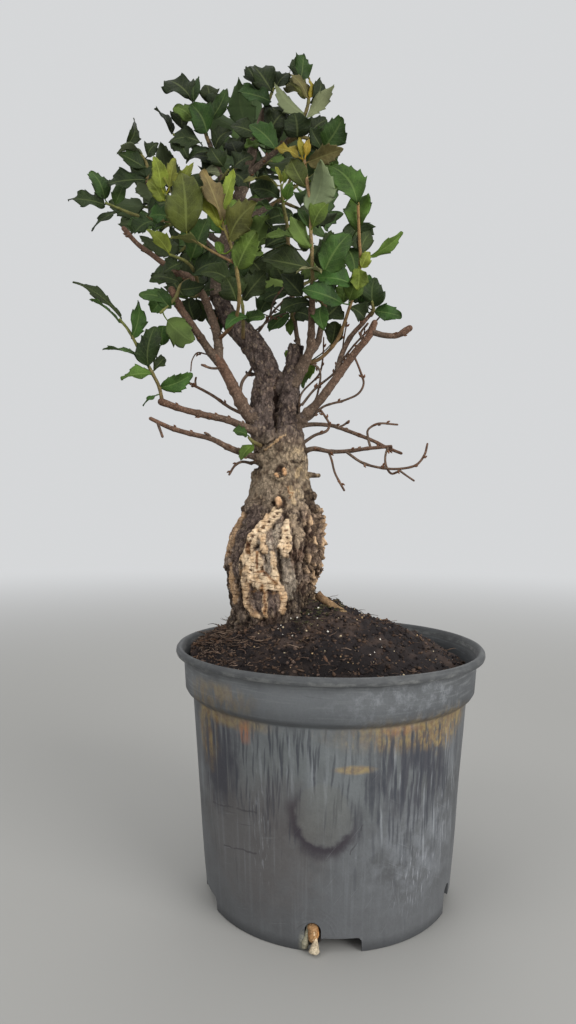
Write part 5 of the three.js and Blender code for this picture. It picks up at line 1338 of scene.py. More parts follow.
neck_tint = mixed(neck_tint, colour(176, 154, 122), painted_light_right * 0.9)
neck_tint = mixed(neck_tint, colour(76, 60, 49), ease(-crumble - 0.5 * grit, 0.15, 0.6) * 0.6)
# Painted shadow: the upper left of the neck is darkened where the limbs shade it.
neck_tint = mixed(neck_tint, colour(74, 61, 51), (1 - ease(across, -58, -46)) * ease(height, 290, 304) * 0.6)
tint = mixed(tint, neck_tint, neck * 0.9)
limb_tint = mixed(colour(68, 58, 52), colour(100, 87, 77), ease(blotch, 0.2, 0.75))
limb_tint = mixed(limb_tint, colour(128, 108, 92), ease(chip_name, 0.9, 0.96) * 0.6)
tint = mixed(tint, limb_tint, on_limbs)
dark_lines = np.clip(deep * rugged * 1.2 + shallow * (0.55 * swollen + 0.15) + chipped * on_limbs * 0.4, 0, 1)
tint = mixed(tint, PIT, dark_lines * 0.75)
print("bark relief from", round(rise.min(), 2), "to", round(rise.max(), 2), "mm")

# %% Lay the strokes over it
wander = 0.7 * layers(trunk_points, 3.6, 3, 111) + 0.3 * layers(trunk_points, 1.8, 2, 112)
frayed = ease(noise(trunk_points, 2.6, 113), -0.35, 0.25)
mottled = ease(layers(trunk_points, 2.8, 3, 114), -0.05, 0.4)
rungs = np.zeros(len(trunk_points))
for kind, shade, lift, ragged, chain in BARK_STROKES:
    reach = stroke_reach(across, height, chain) + ragged * wander
    inside = (1 - ease(reach, 0.78, 1.14)) * front
    if kind == GROOVE:
        rise = rise + lift * inside
        tint = mixed(tint, shade, inside * 0.85)
        continue
    texture = 1 + 0.3 * grit + 0.26 * crumble + 0.22 * threads
    if kind == PANEL:
        rise = rise * (1 - 0.25 * inside) + lift * inside
        tint = mixed(tint, np.array(shade) * texture[:, None], inside * 0.8)
        continue
    border = (1 - ease(np.abs(reach - 1.16), 0.06, 0.24)) * front * frayed
    rise = rise * (1 - 0.7 * inside) + lift * inside - 0.5 * border
    tint = mixed(tint, BARK_DARK, border * 0.55)
    worn = np.array(shade) * texture[:, None]
    worn = mixed(worn, np.array(shade) * [0.72, 0.6, 0.48], mottled * 0.4)
    worn = mixed(worn, np.array(RED_BARK) * 0.5, shallow * 0.25)
    rise = rise - 0.3 * shallow * inside
    tint = mixed(tint, worn, inside * 0.95)
    rungs = np.maximum(rungs, 0.7 * inside)

LADDER = [(-57, 230, 8), (-52, 219, 9), (-44, 219, 8)]
level_zone = 1 - ease(stroke_reach(across, height, LADDER) + 0.3 * wander, 0.8, 1.1)
rungs = np.maximum(rungs, level_zone * front)
# The bark is darker low down, towards the mix.
darker = 1 - ease(trunk_points[:, 2] + 5 * wander - 18 * ease(across, -38, -24), 192.0, 208.0)
tint = tint * (1 + (1 - np.clip(neck, 0, 1))[:, None] * [0.13, 0.16, 0.28])
tint = tint * (1 - 0.62 * darker[:, None])
tint = np.clip(tint, 0.004, 1.0)
trunk_points = trunk_points + trunk_normals * rise[:, None]
print("bark pushed from", round(rise.min(), 2), "to", round(rise.max(), 2), "mm")

# %% The trunk's piece
trunk = to_scene("trunk_bark", trunk_points, trunk_faces, [cork_bark])
corner_of = np.concatenate([np.array(face) for face in trunk_faces])
paint_corners(trunk.data, np.concatenate([tint, rungs[:, None]], axis=1)[corner_of])
settle(trunk, ["trunk"])

# %% [markdown]
# ## Branches and twigs
#
# Each branch is a row of tubes that follow the places in this table: across, height and depth on the
# upright sheet, with the radius along the way. Young wood is never even. It swells a little at each
# old bud, and small pointed buds wait along the bare twigs, so both are added at random places.

# %% Where the branches run
BRANCHES = {
    "branch_left_tall": [
        [(-52, 336, -4, 4.6), (-63, 347, -8, 4.6), (-70, 360, -9, 4.2), (-78, 375, -9, 3.9), (-85, 387, -9, 3.9)],
        [(-84, 384, -9, 3.4), (-92, 394, -10, 3), (-99, 404, -11, 2.8), (-106, 414, -12, 2.7),
        (-113, 424, -13, 2.7), (-120, 438, -14, 2.6)],
        [(-84, 385, -9, 3.4), (-85, 402, -8, 3.3), (-90, 419, -6, 3), (-97, 435, -5, 2.8), (-107, 447, -5, 2.6),
        (-118, 452, -5, 2.3), (-134, 463.5, -6, 1.9), (-146, 472.5, -6, 1.7), (-156.5, 484, -6, 1.7)],
        [(-85, 387, -9, 0.6), (-93.6, 390, -8, 0.55), (-100.3, 391, -7, 0.5), (-104, 385.7, -7, 0.5),
        (-105, 377.5, -7, 0.5)],
        [(-81, 380, -9, 1.0), (-89, 379.5, -12, 0.9), (-96.6, 382, -14, 0.9)],
    ],
    "branch_left_middle": [
        [(-50, 331, -4, 3.2), (-62, 335, -10, 3), (-77, 341, -15, 2.6), (-93, 344.5, -18, 2.4),
        (-111, 349, -20, 2.2), (-127, 354.5, -21, 2.7)],
    ],
    "branch_left_low": [
        [(-46, 311, -6, 2.6), (-64, 316, -14, 2.3), (-77, 321, -19, 2.1), (-89, 327, -23, 1.9),
        (-106, 331, -27, 1.8), (-121, 335.5, -30, 1.7), (-135, 342, -32, 1.4)],
        [(-130, 339.5, -31, 1), (-128, 334, -33, 0.9), (-126, 328.5, -34, 0.9)],
        [(-89, 327, -23, 1), (-91, 330, -25, 0.9), (-94, 331.5, -26, 0.8)],
    ],
    "twig_left_thin": [
        [(-58, 343, 2, 1.4), (-74, 349.5, 4, 1.2), (-88, 359, 5, 1.1), (-101, 366, 5, 1), (-108, 369.5, 5, 0.9)],
        [(-101, 366, 5, 0.8), (-101.5, 370, 5, 0.8), (-101, 372.5, 5, 0.8)],
    ],
    "twig_left_lowest": [
        [(-59, 309, -2, 1.1), (-66, 310, -5, 1), (-71, 307.5, -6, 0.9), (-75.5, 300.5, -6, 0.8)],
    ],
    "twig_left_cross": [
        [(-68, 362, -9, 1.3), (-66, 370, -4, 1.2), (-60, 378, 4, 1.1), (-56, 388, 10, 1), (-54, 400, 13, 1)],
    ],
    "branch_right_rising": [
        [(-27, 334, -4, 3.8), (-19, 345, -8, 3.5), (-10, 354, -10, 3.2), (-1, 366, -12, 3), (9, 380, -13, 2.8),
        (17, 391, -14, 2.6), (27, 403, -15, 2.4), (31, 412.5, -15, 2.3)],
        [(29, 406, -15, 2.2), (38, 403.5, -16, 2), (48, 403.5, -17, 2), (56.5, 408.5, -17, 2.3)],
        [(4, 376, -12, 2.2), (7.5, 390, -8, 2), (14, 403, -5, 1.8), (22, 412, -4, 1.6), (29, 420, -4, 1.3)],
        [(23, 398, -15, 0.9), (21, 405, -12, 0.9), (26, 412, -10, 0.8)],
        [(-22, 352, -6, 1.0), (-12.9, 363.5, -5, 0.9), (1.9, 376, -4, 0.8), (9.3, 387.2, -3, 0.8),
        (16, 396, -2, 0.7), (27, 408, -2, 0.7), (35.3, 417.5, -3, 0.6)],
        [(1.9, 376, -4, 0.7), (6.4, 384.2, -2, 0.7), (8.6, 400.5, 0, 0.6), (10.8, 413, 2, 0.5)],
        [(-24, 345, -4, 0.9), (-22.5, 360, 0, 0.8), (-9.2, 375.3, 3, 0.7), (-6.6, 387.2, 4, 0.6),
        (-6.2, 402, 4, 0.5)],
        [(9.3, 387.2, -3, 0.6), (16, 391, 2, 0.6), (22, 399, 4, 0.5), (24, 408, 4, 0.5)],
    ],
    "branch_right_level": [
        [(-20, 318, -4, 1.9), (-13, 320, -8, 1.8), (0, 318, -12, 1.5), (13, 318.5, -15, 1.4),
        (28, 320.5, -18, 1.3), (44, 322, -20, 1.1)],
        [(-2, 318.5, -11, 0.9), (0.5, 312, -12, 0.8), (3, 302.5, -13, 0.8), (10, 289.5, -14, 0.8)],
        [(11, 318, -15, 1), (23, 310, -19, 1), (35, 306.5, -22, 0.9), (49, 305.5, -25, 0.9),
        (62.5, 308.5, -27, 0.8), (68.5, 316, -28, 0.8), (70.5, 324, -28, 0.7)],
        [(49, 305.5, -25, 0.8), (55, 301, -25, 0.7), (61, 297, -25, 0.7)],
        [(29, 321, -18, 0.9), (27, 329, -17, 0.9), (27, 334, -17, 0.8), (34, 338.5, -17, 0.8),
        (48.5, 338, -17, 0.7)],
        [(42, 322, -20, 0.8), (40, 315, -21, 0.8), (40.5, 308, -21, 0.8), (44.5, 302, -21, 0.8),
        (49.5, 303.5, -21, 0.8)],
    ],
    "branch_right_drooping": [
        [(-22, 337, 4, 1.8), (-14, 338, 6, 1.6), (1.5, 337, 8, 1.5), (9, 334.5, 8, 1.4), (21, 330, 8, 1.4),
        (31, 326, 8, 1.3), (42.5, 320.5, 7, 1.2), (51.5, 317, 6, 1.1)],
        [(5, 336, 8, 0.8), (9, 337.5, 8, 0.8), (13, 340.5, 8, 0.8)],
    ],
    "twig_right_hooked": [
        [(-21, 324, -2, 1.2), (-12, 330, -4, 1.1), (-3, 333.5, -5, 1), (-1.5, 338, -5, 0.9), (-4, 343, -5, 0.8),
        (-7.5, 348, -5, 0.8)],
    ],
    "twig_right_arc": [
        [(-21, 340, 2, 1.1), (-16, 342, 2, 1), (-6, 351, 0, 0.9), (10, 356, -2, 0.8), (20, 361, -3, 0.8),
        (23.5, 368, -3, 0.8), (21, 377, -3, 0.8), (16.5, 388, -5, 0.8)],
    ],
    "branch_centre": [
        [(-29, 367, -2, 4.6), (-22, 380, -5, 4.2), (-16.5, 392, -8, 3.2), (-15.5, 402, -12, 2.7),
        (-15.3, 414, -17, 2.4), (-15, 427, -24, 2.2), (-14, 441, -33, 2)],
        [(-18, 388, -7, 2.6), (-11, 398, -4, 2.4), (-8.5, 408, -2, 2.2), (-7, 419, -4, 2), (-5, 430, -10, 1.6)],
        [(-22, 382, -4, 2), (-25.5, 400, 2, 1.8), (-28, 417, 6, 1.6), (-30, 440, 4, 1.5), (-33, 470, -6, 1.4)],
        [(-18, 385, -6, 0.9), (-9, 378, -4, 0.8), (-10, 362, -2, 0.8), (-14, 350, 2, 0.8)],
    ],
    "leader": [
        [(-83.5, 431, 8, 6.6), (-84, 448, 10, 6), (-80, 470, 10, 5.4), (-73, 495, 8, 4.8), (-65, 522, 5, 4.2),
        (-58, 547, 2, 3.2), (-52, 569, 0, 2.2)],
        [(-73, 497, 8, 3), (-62, 502, -2, 2.6), (-50, 503, -14, 2.2), (-41, 510, -24, 1.6)],
        [(-75, 492, 8, 2.6), (-82, 515, 4, 2.3), (-88, 534, 0, 2), (-93, 548, -3, 1.7)],
        [(-66, 520, 5, 2.3), (-52, 532, 0, 2), (-36, 545, -6, 1.8), (-25, 558, -11, 1.5)],
        [(-82, 460, 10, 2.8), (-100, 478, 7, 2.5), (-118, 495, 3, 2.2), (-132, 509, 0, 1.9), (-141, 520, -2, 1.6)],
        [(-80, 470, 10, 2.6), (-97, 482, 32, 2.2), (-112, 494, 52, 1.7)],
        [(-76, 485, 9, 2.6), (-56, 494, 34, 2.2), (-36, 505, 55, 1.7)],
        [(-68, 512, 6, 2.4), (-68, 530, 30, 2), (-66, 548, 48, 1.6)],
        [(-84, 446, 10, 2.6), (-72, 448, 38, 2.2), (-58, 455, 62, 1.7)],
        [(-60, 399, 1, 1.0), (-50.7, 411.6, -2, 0.9), (-46.2, 418.3, -3, 0.8), (-37.3, 427.9, -4, 0.8),
        (-29.2, 433.8, -4, 0.6)],
        [(-63, 404, 2, 0.8), (-55.8, 408, -3, 0.7), (-43.3, 416.8, -7, 0.7), (-32.9, 420.5, -8, 0.5)],
        [(-46.2, 418.3, -3, 0.7), (-43, 430, -1, 0.6), (-36, 440, 0, 0.6), (-33, 452, 1, 0.5)],
    ],
}

# %% Grow the branches
BUD_SPACING = 9
OLD_WOOD = colour(96, 82, 70)
NEW_WOOD = colour(104, 78, 63)
LEADER_WOOD = colour(88, 76, 65)
BUD_BROWN = colour(108, 76, 56)
WOOD_TINTS = {"leader": (LEADER_WOOD, OLD_WOOD), "branch_centre": (OLD_WOOD, colour(112, 90, 74))}


def shaded(points, sides, first, last, seed):
    """A colour for each point of a tube, from first at its foot to last at its tip."""
    share = np.repeat(np.linspace(0, 1, len(points) // sides), sides)[:, None]
    patch = 1 + 0.34 * layers(points, 5.0, 3, seed)[:, None]
    return (np.array(first) * (1 - share) + np.array(last) * share) * patch


def grow_branch(name, limbs, seed):
    pile = Pile()
    luck = random.Random(seed)
    first, last = WOOD_TINTS.get(name, (OLD_WOOD, NEW_WOOD))
    for number, limb in enumerate(limbs):
        points, radii = spots([row[:3] for row in limb]), [row[3] for row in limb]
        centres, length, through = smooth_line(points, 60)
        thick = max(radii)
        sides = 22 if thick > 6 else 16 if thick > 3.4 else 12 if thick > 2 else 8
        nodes = [(luck.uniform(0.08, 0.98), luck.uniform(0.06, 0.2), luck.uniform(0.8, 1.8))
                 for _ in range(int(length / BUD_SPACING))]
        shell, groups, size = tube(points, radii, sides, pitch=1.3 if thick > 3 else 1.5, rough=0.09, grain=2.4,
                                   seed=seed + 7 * number, flare=0.22 if number == 0 else 0.05, swellings=nodes)
        pile.add(shell, groups, size, shaded(shell, sides, first, last, seed + number))
        if thick > 3.6:
            continue
        for place, _, _ in nodes:
            k = min(int(place * 59), 58)
            ahead = (centres[k + 1] - centres[k]) / np.linalg.norm(centres[k + 1] - centres[k])
            side = np.cross(ahead, [luck.gauss(0, 1), luck.gauss(0, 1), luck.gauss(0, 1)])
            side /= np.linalg.norm(side)
            here = float(np.interp(through[k], np.linspace(0, 1, len(radii)), radii))
            foot = centres[k] + side * here * 0.7
            bud = [foot, foot + side * 0.9 + ahead * 0.5, foot + side * 1.5 + ahead * 1.6]
            pile.add(*tube(bud, [0.75, 0.85, 0.4], 7, 0.6), BUD_BROWN)
    return build(pile, name + "_wood", [twig_bark], [name])


for seed, (name, limbs) in enumerate(BRANCHES.items()):
    grow_branch(name, limbs, 300 + 20 * seed)

# %% [markdown]
# ## Shoots
#
# A shoot is a thin green or reddish stem with leaves in turn to either side. The rows below say where
# each leaf starts and ends, how wide it is, how far it is turned about its own midrib, and its tone.
# A leaf turned by 180 shows its pale underside.

# %% Where the leaves are
SHOOTS = {
    "shoot_hero": {
        "stem": [(-84, 401, -8), (-77, 408, -20), (-71, 418, -34), (-69, 437, -48), (-70.5, 448, -53),
        (-73, 462, -57), (-78, 477, -60), (-82, 486, -61)],
        "leaves": [(-84, 484, -61, -103, 516, -67, 16, 10, "young"),
        (-82, 488, -62, -97, 527, -68, 15, 38, "bronze"), (-83, 496, -61, -74.5, 525, -58, 8, 25, "young"),
        (-80, 486, -58, -71, 507, -52, 11, 10, "light"), (-77, 475, -61, -55, 501, -73, 22, 5, "olive"),
        (-71, 453, -55, -57, 481, -62, 19, 0, "light"), (-83, 464, -56, -86, 474, -58, 7, 15, "light")],
        "side": [(-72, 457, -55), (-84, 463, -59), (-96, 470, -62), (-108, 478, -63)],
        "side_leaves": [(-109, 480, -63, -114, 526, -72, 27, 0, "olive"),
        (-97, 470, -62, -121, 477, -64, 10, 72, "olive")],
    },
    "shoot_centre": {
        "stem": [(-14.5, 437, -31), (-15, 452, -42), (-15.5, 466, -48), (-16.5, 482, -52), (-16.5, 497, -55),
        (-19, 513, -56), (-21.5, 532, -56)],
        "leaves": [(-17, 468, -50, -33, 492, -60, 15, 180, "light"),
        (-18, 468, -48, -50, 483, -50, 11, 30, "light"), (-16, 453, -44, -53, 462, -42, 17, 0, "dark"),
        (-8, 450, -46, -26, 454, -52, 10, 40, "pale"), (-9, 453, -42, -1, 481, -40, 15, 0, "dark"),
        (-6, 451, -46, 12, 480, -48, 20, 0, "mid"), (-15, 483, -54, -4, 501, -58, 12, 10, "light"),
        (-18, 483, -52, -25, 498, -52, 10, 20, "mid"), (-17, 495, -58, -8, 532, -70, 21, 180, "pale"),
        (-21, 513, -55, -32, 533, -55, 15, 0, "olive"), (-19, 531, -58, 7, 540, -64, 13, 50, "bronze"),
        (-25, 534, -57, -43, 543, -60, 10, 15, "amber"), (-23.5, 535, -56, -26, 549, -57, 6, 10, "amber"),
        (-21, 535, -57, -18.5, 549, -58, 5, 10, "amber")],
    },
    "shoot_right": {
        "stem": [(-16, 383, -5), (-8, 387, -8), (3, 399, -14), (8, 410, -19), (12.5, 424, -25), (17, 438, -29),
        (20, 455, -31), (19, 478, -31), (18, 500, -31)],
        "leaves": [(7, 427, -34, -19, 440, -52, 18, 0, "mid"), (14, 441, -34, -10, 448, -44, 16, 5, "mid"),
        (12, 429, -29, 18, 448, -36, 13, 0, "light"), (19, 453, -33, 18.5, 437, -38, 12, 10, "young"),
        (21, 453, -32, 27, 465, -33, 8, 20, "young"), (20, 462, -29, 28, 479, -22, 11, 10, "dark"),
        (27, 461, -29, 50.5, 479, -24, 10, 72, "light"), (17.5, 500, -33, -1, 531, -40, 21, 0, "mid"),
        (18.5, 480, -29, 18, 504, -20, 20, 0, "light"), (13, 424, -24, 24, 416, -20, 12, 0, "dark")],
    },
    "shoot_top_right": {
        "stem": [(-25, 557, -10), (-21, 567, -13), (-19, 578, -14), (-24, 591, -13)],
        "leaves": [(-20, 578, -16, -33, 597, -22, 13, 20, "bronze"),
        (-18, 578, -15, -17.5, 593, -13, 9, 55, "amber"), (-23, 566, -17, -44, 590, -27, 12, 200, "pale"),
        (-18, 574, -13, -7, 592, -9, 11, 60, "dark"), (-20, 563, -17, -1, 588, -25, 12, 190, "pale"),
        (-25, 591, -13, -23, 611, -13, 13, 20, "mid")],
    },
    "shoot_right_upper": {
        "stem": [(-34, 546, -7), (-26, 549, -12), (-16, 547, -15), (-8, 541, -17)],
        "leaves": [(-7, 541, -19, 7, 562, -26, 20, 0, "mid"), (-9, 541, -18, -18, 556, -24, 11, 0, "dark"),
        (-18, 552, -15, -5, 563, -13, 11, 10, "dark"), (-27, 549, -14, -29, 567, -22, 20, 0, "dark"),
        (-12, 538, -16, -21, 547, -22, 9, 0, "dark")],
    },
    "shoot_top_middle": {
        "stem": [(-52, 567, 0), (-49, 575, -2), (-45, 585, -4)],
        "leaves": [(-46, 583, -5, -60, 602, -8, 20, 0, "dark"), (-43, 586, -4, -33, 597, -4, 14, 5, "dark"),
        (-47, 576, -6, -71, 584, -13, 17, 0, "mid"), (-46, 572, -4, -40, 556, -14, 15, 0, "dark")],
    },
    "shoot_inner_top": {
        "stem": [(-59, 543, 2), (-54, 548, -8), (-47, 544, -16)],
        "leaves": [(-43, 541, -18, -60, 562, -27, 15, 0, "mid"), (-56, 546, -12, -66, 542, -18, 8, 0, "light"),
        (-57, 552, -8, -76, 561, -13, 16, 0, "dark"), (-48, 550, -12, -38, 569, -20, 16, 10, "dark")],
    },
    "shoot_top_left": {
        "stem": [(-92.5, 546, -3), (-98, 560, -5), (-105, 574, -7)],
        "leaves": [(-107, 580.5, -8, -125, 596, -8, 21, 0, "dark"),
        (-104, 577, -7, -103.5, 598, -9, 13, -20, "mid"), (-92, 562, -6, -79.5, 586, -10, 11, 25, "mid"),
        (-94, 554, -8, -107, 575, -17, 18, 0, "mid"), (-104, 562, -9, -118.5, 575, -14, 15, 10, "light")],
    },
    "shoot_top_left_low": {
        "stem": [(-90, 538, -1), (-104, 545, -4), (-119, 553, -3)],
        "leaves": [(-120, 554, -3, -134, 572, 1, 12, 35, "dark"), (-98, 546, -7, -122, 553, -14, 14, 0, "dark"),
        (-88, 542, -4, -78, 557, -8, 13, 0, "dark"), (-92, 540, -6, -110, 536, -14, 12, 10, "dark"),
        (-118, 549, -6, -108, 534, -12, 12, 0, "dark")],
    },
    "shoot_upper_left": {
        "stem": [(-140, 518, -2), (-139, 530, -3), (-145, 540, -4), (-154, 545, -4)],
        "leaves": [(-154, 546, -4, -145.5, 566, -2, 12, 65, "dark"),
        (-143, 540, -5, -162, 543, -9, 13, 50, "pale"), (-139, 537, -5, -131.5, 548, -7, 10, 10, "dark"),
        (-141, 529, -5, -161, 540, -10, 14, 0, "dark"), (-140, 520, -4, -169, 517, -8, 14, 0, "dark")],
    },
    "shoot_far_left": {
        "stem": [(-112, 488, 5), (-130, 490, 4), (-148, 494, 3), (-158, 498, 2), (-170, 503, 1)],
        "leaves": [(-171, 506, 1, -182, 529, -3, 13, 10, "mid"), (-171, 502, 1, -199, 505, -3, 15, 0, "dark"),
        (-163, 502, 1, -156, 520, -3, 12, 10, "mid"), (-159, 497, 2, -182, 484, -2, 11, 20, "dark"),
        (-138, 494, 2, -124, 505, -4, 13, 0, "dark"), (-134, 489, 2, -148, 480, -4, 13, 0, "dark")],
    },
    "shoot_young_left": {
        "stem": [(-104, 482, 6), (-112, 490, -18), (-119, 499, -36), (-125, 509, -44)],
        "leaves": [(-128, 513, -46, -134.5, 540, -50, 11, 5, "young"),
        (-122, 514, -46, -120.5, 538, -48, 10, -10, "young"), (-116, 508, -43, -103, 531, -46, 12, 0, "young"),
        (-127, 504, -42, -138, 521, -44, 11, 10, "young"), (-121, 492, -37, -137, 493, -41, 14, 0, "mid")],
    },
    "shoot_left_centre": {
        "stem": [(-100, 438, -5), (-102, 449, -16), (-108, 458, -24), (-121, 464, -28)],
        "leaves": [(-105, 461, -25, -97, 491, -36, 18, 0, "mid"),
        (-122, 465, -29, -139, 483, -33, 12, 10, "young"), (-103, 450, -20, -78, 458, -32, 17, 0, "dark"),
        (-112, 458, -24, -126, 450, -30, 12, 0, "dark")],
    },
    "shoot_left_side": {
        "stem": [(-106, 446, -6), (-113, 441, -14), (-117, 432, -18), (-123, 426, -20), (-128, 421, -20)],
        "leaves": [(-114, 444, -13, -136, 449, -12, 11, 0, "dark"),
        (-113, 438, -16, -95, 441, -22, 12, 30, "dark"), (-117, 427, -18, -144.5, 433, -20, 13, 10, "mid"),
        (-120, 424, -19, -131, 437, -24, 9, -20, "mid"), (-123, 415, -19, -103, 398, -18, 18, 190, "light")],
    },
    "shoot_left_back": {
        "stem": [(-98, 437, -4), (-101, 433, 4), (-106, 433, 10)],
        "leaves": [(-108, 431, 12, -120, 448, 16, 17, 0, "dark"), (-101, 431, 8, -97, 414, 14, 13, 0, "dark"),
        (-107, 436, 12, -96, 452, 22, 14, 20, "dark")],
    },
    "shoot_left_end": {
        "stem": [(-126, 353, -21), (-129, 366, -21), (-133, 374, -21), (-139, 385, -21), (-146, 397, -22),
        (-153, 409, -22), (-159, 416, -22)],
        "leaves": [(-159, 414, -22, -183, 430, -26, 12, 68, "mid"),
        (-158, 418, -22, -196, 441, -20, 9, 40, "dark"), (-150, 402, -22, -142, 431, -19, 14, 50, "mid"),
        (-137, 381, -23, -133, 411, -30, 17, 0, "dark"), (-145, 389, -21, -172, 392, -19, 11, 45, "mid"),
        (-134, 375, -22, -158, 371, -27, 11, 10, "light"), (-133, 378, -20, -125, 389, -15, 8, 0, "dark"),
        (-128, 365, -20, -104, 376, -13, 12, 50, "mid"), (-130, 360, -22, -142, 353, -25, 6, 20, "mid")],
    },
    "shoot_front_low": {
        "stem": [(-66, 402, -7), (-66, 414, -22), (-67, 428, -32), (-72, 440, -36)],
        "leaves": [(-71, 429, -33, -79, 447, -42, 18, 0, "dark"), (-66, 430, -33, -49, 450, -38, 17, 0, "dark"),
        (-63, 417, -28, -79, 411, -44, 10, 10, "mid"), (-64, 415, -26, -50, 418, -34, 10, 0, "mid"),
        (-75, 443, -36, -98, 452, -40, 16, 10, "dark")],
    },
    "shoot_front_dark": {
        "stem": [(-6, 426, -8), (-12, 431, -18), (-20, 432, -24)],
        "leaves": [(-22, 432, -24, -38, 449, -30, 20, 0, "dark"), (-17, 428, -24, -39, 420, -32, 12, 0, "dark"),
        (-8, 425, -14, -7, 411, -24, 12, 10, "mid"), (-10, 434, -18, 2, 442, -28, 15, 0, "dark")],
    },
    "shoot_thin_low": {
        "stem": [(-28, 414, 6), (-30, 418, 0), (-29, 422, -5)],
        "leaves": [(-33, 420, -2, -47, 408, -6, 13, 0, "mid"), (-31, 416, -1, -32, 405, -4, 6, 20, "light"),
        (-27, 421, -4, -12, 412, -8, 13, 0, "dark")],
    },
    "shoot_middle_high": {
        "stem": [(-32.8, 468, -5), (-34, 485, -17), (-37, 500, -26), (-38.5, 514, -31)],
        "leaves": [(-34, 503, -30, -30, 517, -37, 9, 0, "light"), (-39, 516, -31, -43, 528, -33, 5, 20, "young"),
        (-37, 516, -32, -30, 531, -36, 5, 20, "young"), (-41, 514, -31, -66, 521, -36, 10, 60, "olive"),
        (-37, 492, -22, -57, 500, -28, 14, 45, "mid"), (-40, 505, -25, -61, 513, -28, 15, 0, "dark")],
    },
    "shoot_middle_dark": {
        "stem": [(-82.5, 517, 4), (-82, 520, -6), (-78, 526, -12)],
        "leaves": [(-80, 517, -8, -83, 500, -16, 14, 0, "dark"), (-84, 524, -9, -97, 525, -14, 8, 0, "pale"),
        (-82, 529, -12, -92, 543, -18, 13, 0, "dark"), (-74, 528, -13, -62, 538, -18, 14, 0, "dark"),
        (-76, 524, -13, -63, 514, -20, 15, 0, "dark")],
    },
    "shoot_right_low": {
        "stem": [(28, 418, -4), (30, 422, -8), (29, 428, -12)],
        "leaves": [(30, 424, -10, 31, 446, -16, 16, 0, "dark"), (31, 421, -8, 51, 418, -10, 11, 15, "mid"),
        (26, 424, -6, 14, 434, 4, 14, 10, "dark")],
    },
    "shoot_low_left": {
        "stem": [(-52, 322, -12), (-58, 325, -18), (-61, 328, -20)],
        "leaves": [(-58, 323, -18, -67, 311, -24, 10, 10, "light"), (-62, 330, -20, -73, 333, -24, 8, 20, "mid")],
    },
    "shoot_behind_stub": {
        "stem": [(-28, 372, 5), (-22, 380, 12), (-15, 385, 14)],
        "leaves": [(-13, 384, 14, -23, 365, 20, 11, 10, "light"), (-24, 381, 13, -34, 392, 18, 9, 10, "light")],
    },
}

# More leaves, deeper in the crown. Each one hangs on the shoot that is nearest.
FILLING_LEAVES = [
    (-91.4, 576, 10, -94.4, 590.1, 8, 13, 0, "dark"),
    (-92.1, 572.3, 8, -84, 584.2, 6, 12, 15, "dark"),
    (-112.9, 556.8, 4, -111.4, 572.3, 4, 14, 0, "dark"),
    (-96.6, 557.5, 6, -106.9, 569.4, 4, 13, 10, "mid"),
    (-87.7, 533.8, 10, -109.9, 536, 8, 17, 0, "dark"),
    (-92.9, 520.5, 8, -87.7, 535.3, 8, 14, -20, "dark"),
    (-57.3, 588.6, 6, -64.7, 602.7, 4, 12, 0, "dark"),
    (-24.7, 591.6, 2, -29.2, 607.9, 0, 13, 0, "dark"),
    (-21, 578.2, 4, -35.8, 590.1, 4, 17, 10, "olive"),
    (-68.4, 532.3, 12, -75.8, 550.1, 12, 15, 0, "dark"),
    (-49.2, 520.5, 14, -59.5, 505.7, 12, 14, 0, "dark"),
    (-56.6, 516, 16, -40.3, 519, 14, 13, 0, "dark"),
    (-50.7, 487.9, 14, -29.9, 493.8, 12, 15, 10, "dark"),
    (-50.7, 468.6, 12, -31.4, 476, 10, 16, 0, "dark"),
    (-80.3, 479, 10, -92.1, 495.3, 8, 15, 0, "mid"),
    (13.8, 484.9, 6, 21.2, 464.9, 4, 20, 0, "dark"),
    (10.8, 467.1, 6, 16, 446.4, 4, 18, 0, "mid"),
    (-22.5, 465.7, 10, -15.1, 477.5, 8, 13, 0, "dark"),
    (-50.7, 430.1, 14, -32.9, 436.8, 12, 15, 0, "dark"),
    (-53.6, 419.8, 18, -43.3, 434.6, 16, 13, 20, "dark"),
    (-82.5, 406.4, 8, -92.9, 424.9, 6, 15, 0, "dark"),
    (-102.5, 415.3, 4, -106.9, 431.6, 2, 15, 0, "dark"),
    (-126.2, 431.6, 0, -135.1, 421.2, -2, 12, 0, "mid"),
    (-6.2, 415.3, 8, 4.9, 427.2, 6, 17, 0, "dark"),
    (7.9, 427.2, 6, 10.1, 443.5, 4, 12, 0, "light"),
    (-126.2, 396.8, 2, -126.2, 411.6, 0, 14, 10, "mid"),
    (4.1, 520.5, -6, 0.4, 529.4, -8, 10, 0, "mid"),
    (20.4, 425.7, -4, 26.4, 447.9, -8, 10, 20, "mid"),
    (-46.2, 539.7, 8, -50.7, 554.5, 8, 14, 0, "dark"),
    (-68.4, 493.1, 14, -75.8, 480.5, 12, 13, 0, "dark"),
    (-35.8, 443.5, 12, -43.3, 456.8, 10, 15, 0, "dark"),
    (-67, 444.9, 12, -72.9, 458.3, 10, 14, 0, "dark"),
    (-89.2, 453.8, 10, -96.6, 470.1, 8, 14, 0, "dark"),
    (-0.3, 396.8, 14, 2.7, 413.8, 12, 13, 0, "dark"),
    (-59.5, 458.3, 16, -50.7, 447.9, 16, 13, 0, "dark"),
    (-132.1, 530.1, 0, -149.9, 527.9, -4, 15, 0, "dark"),
]

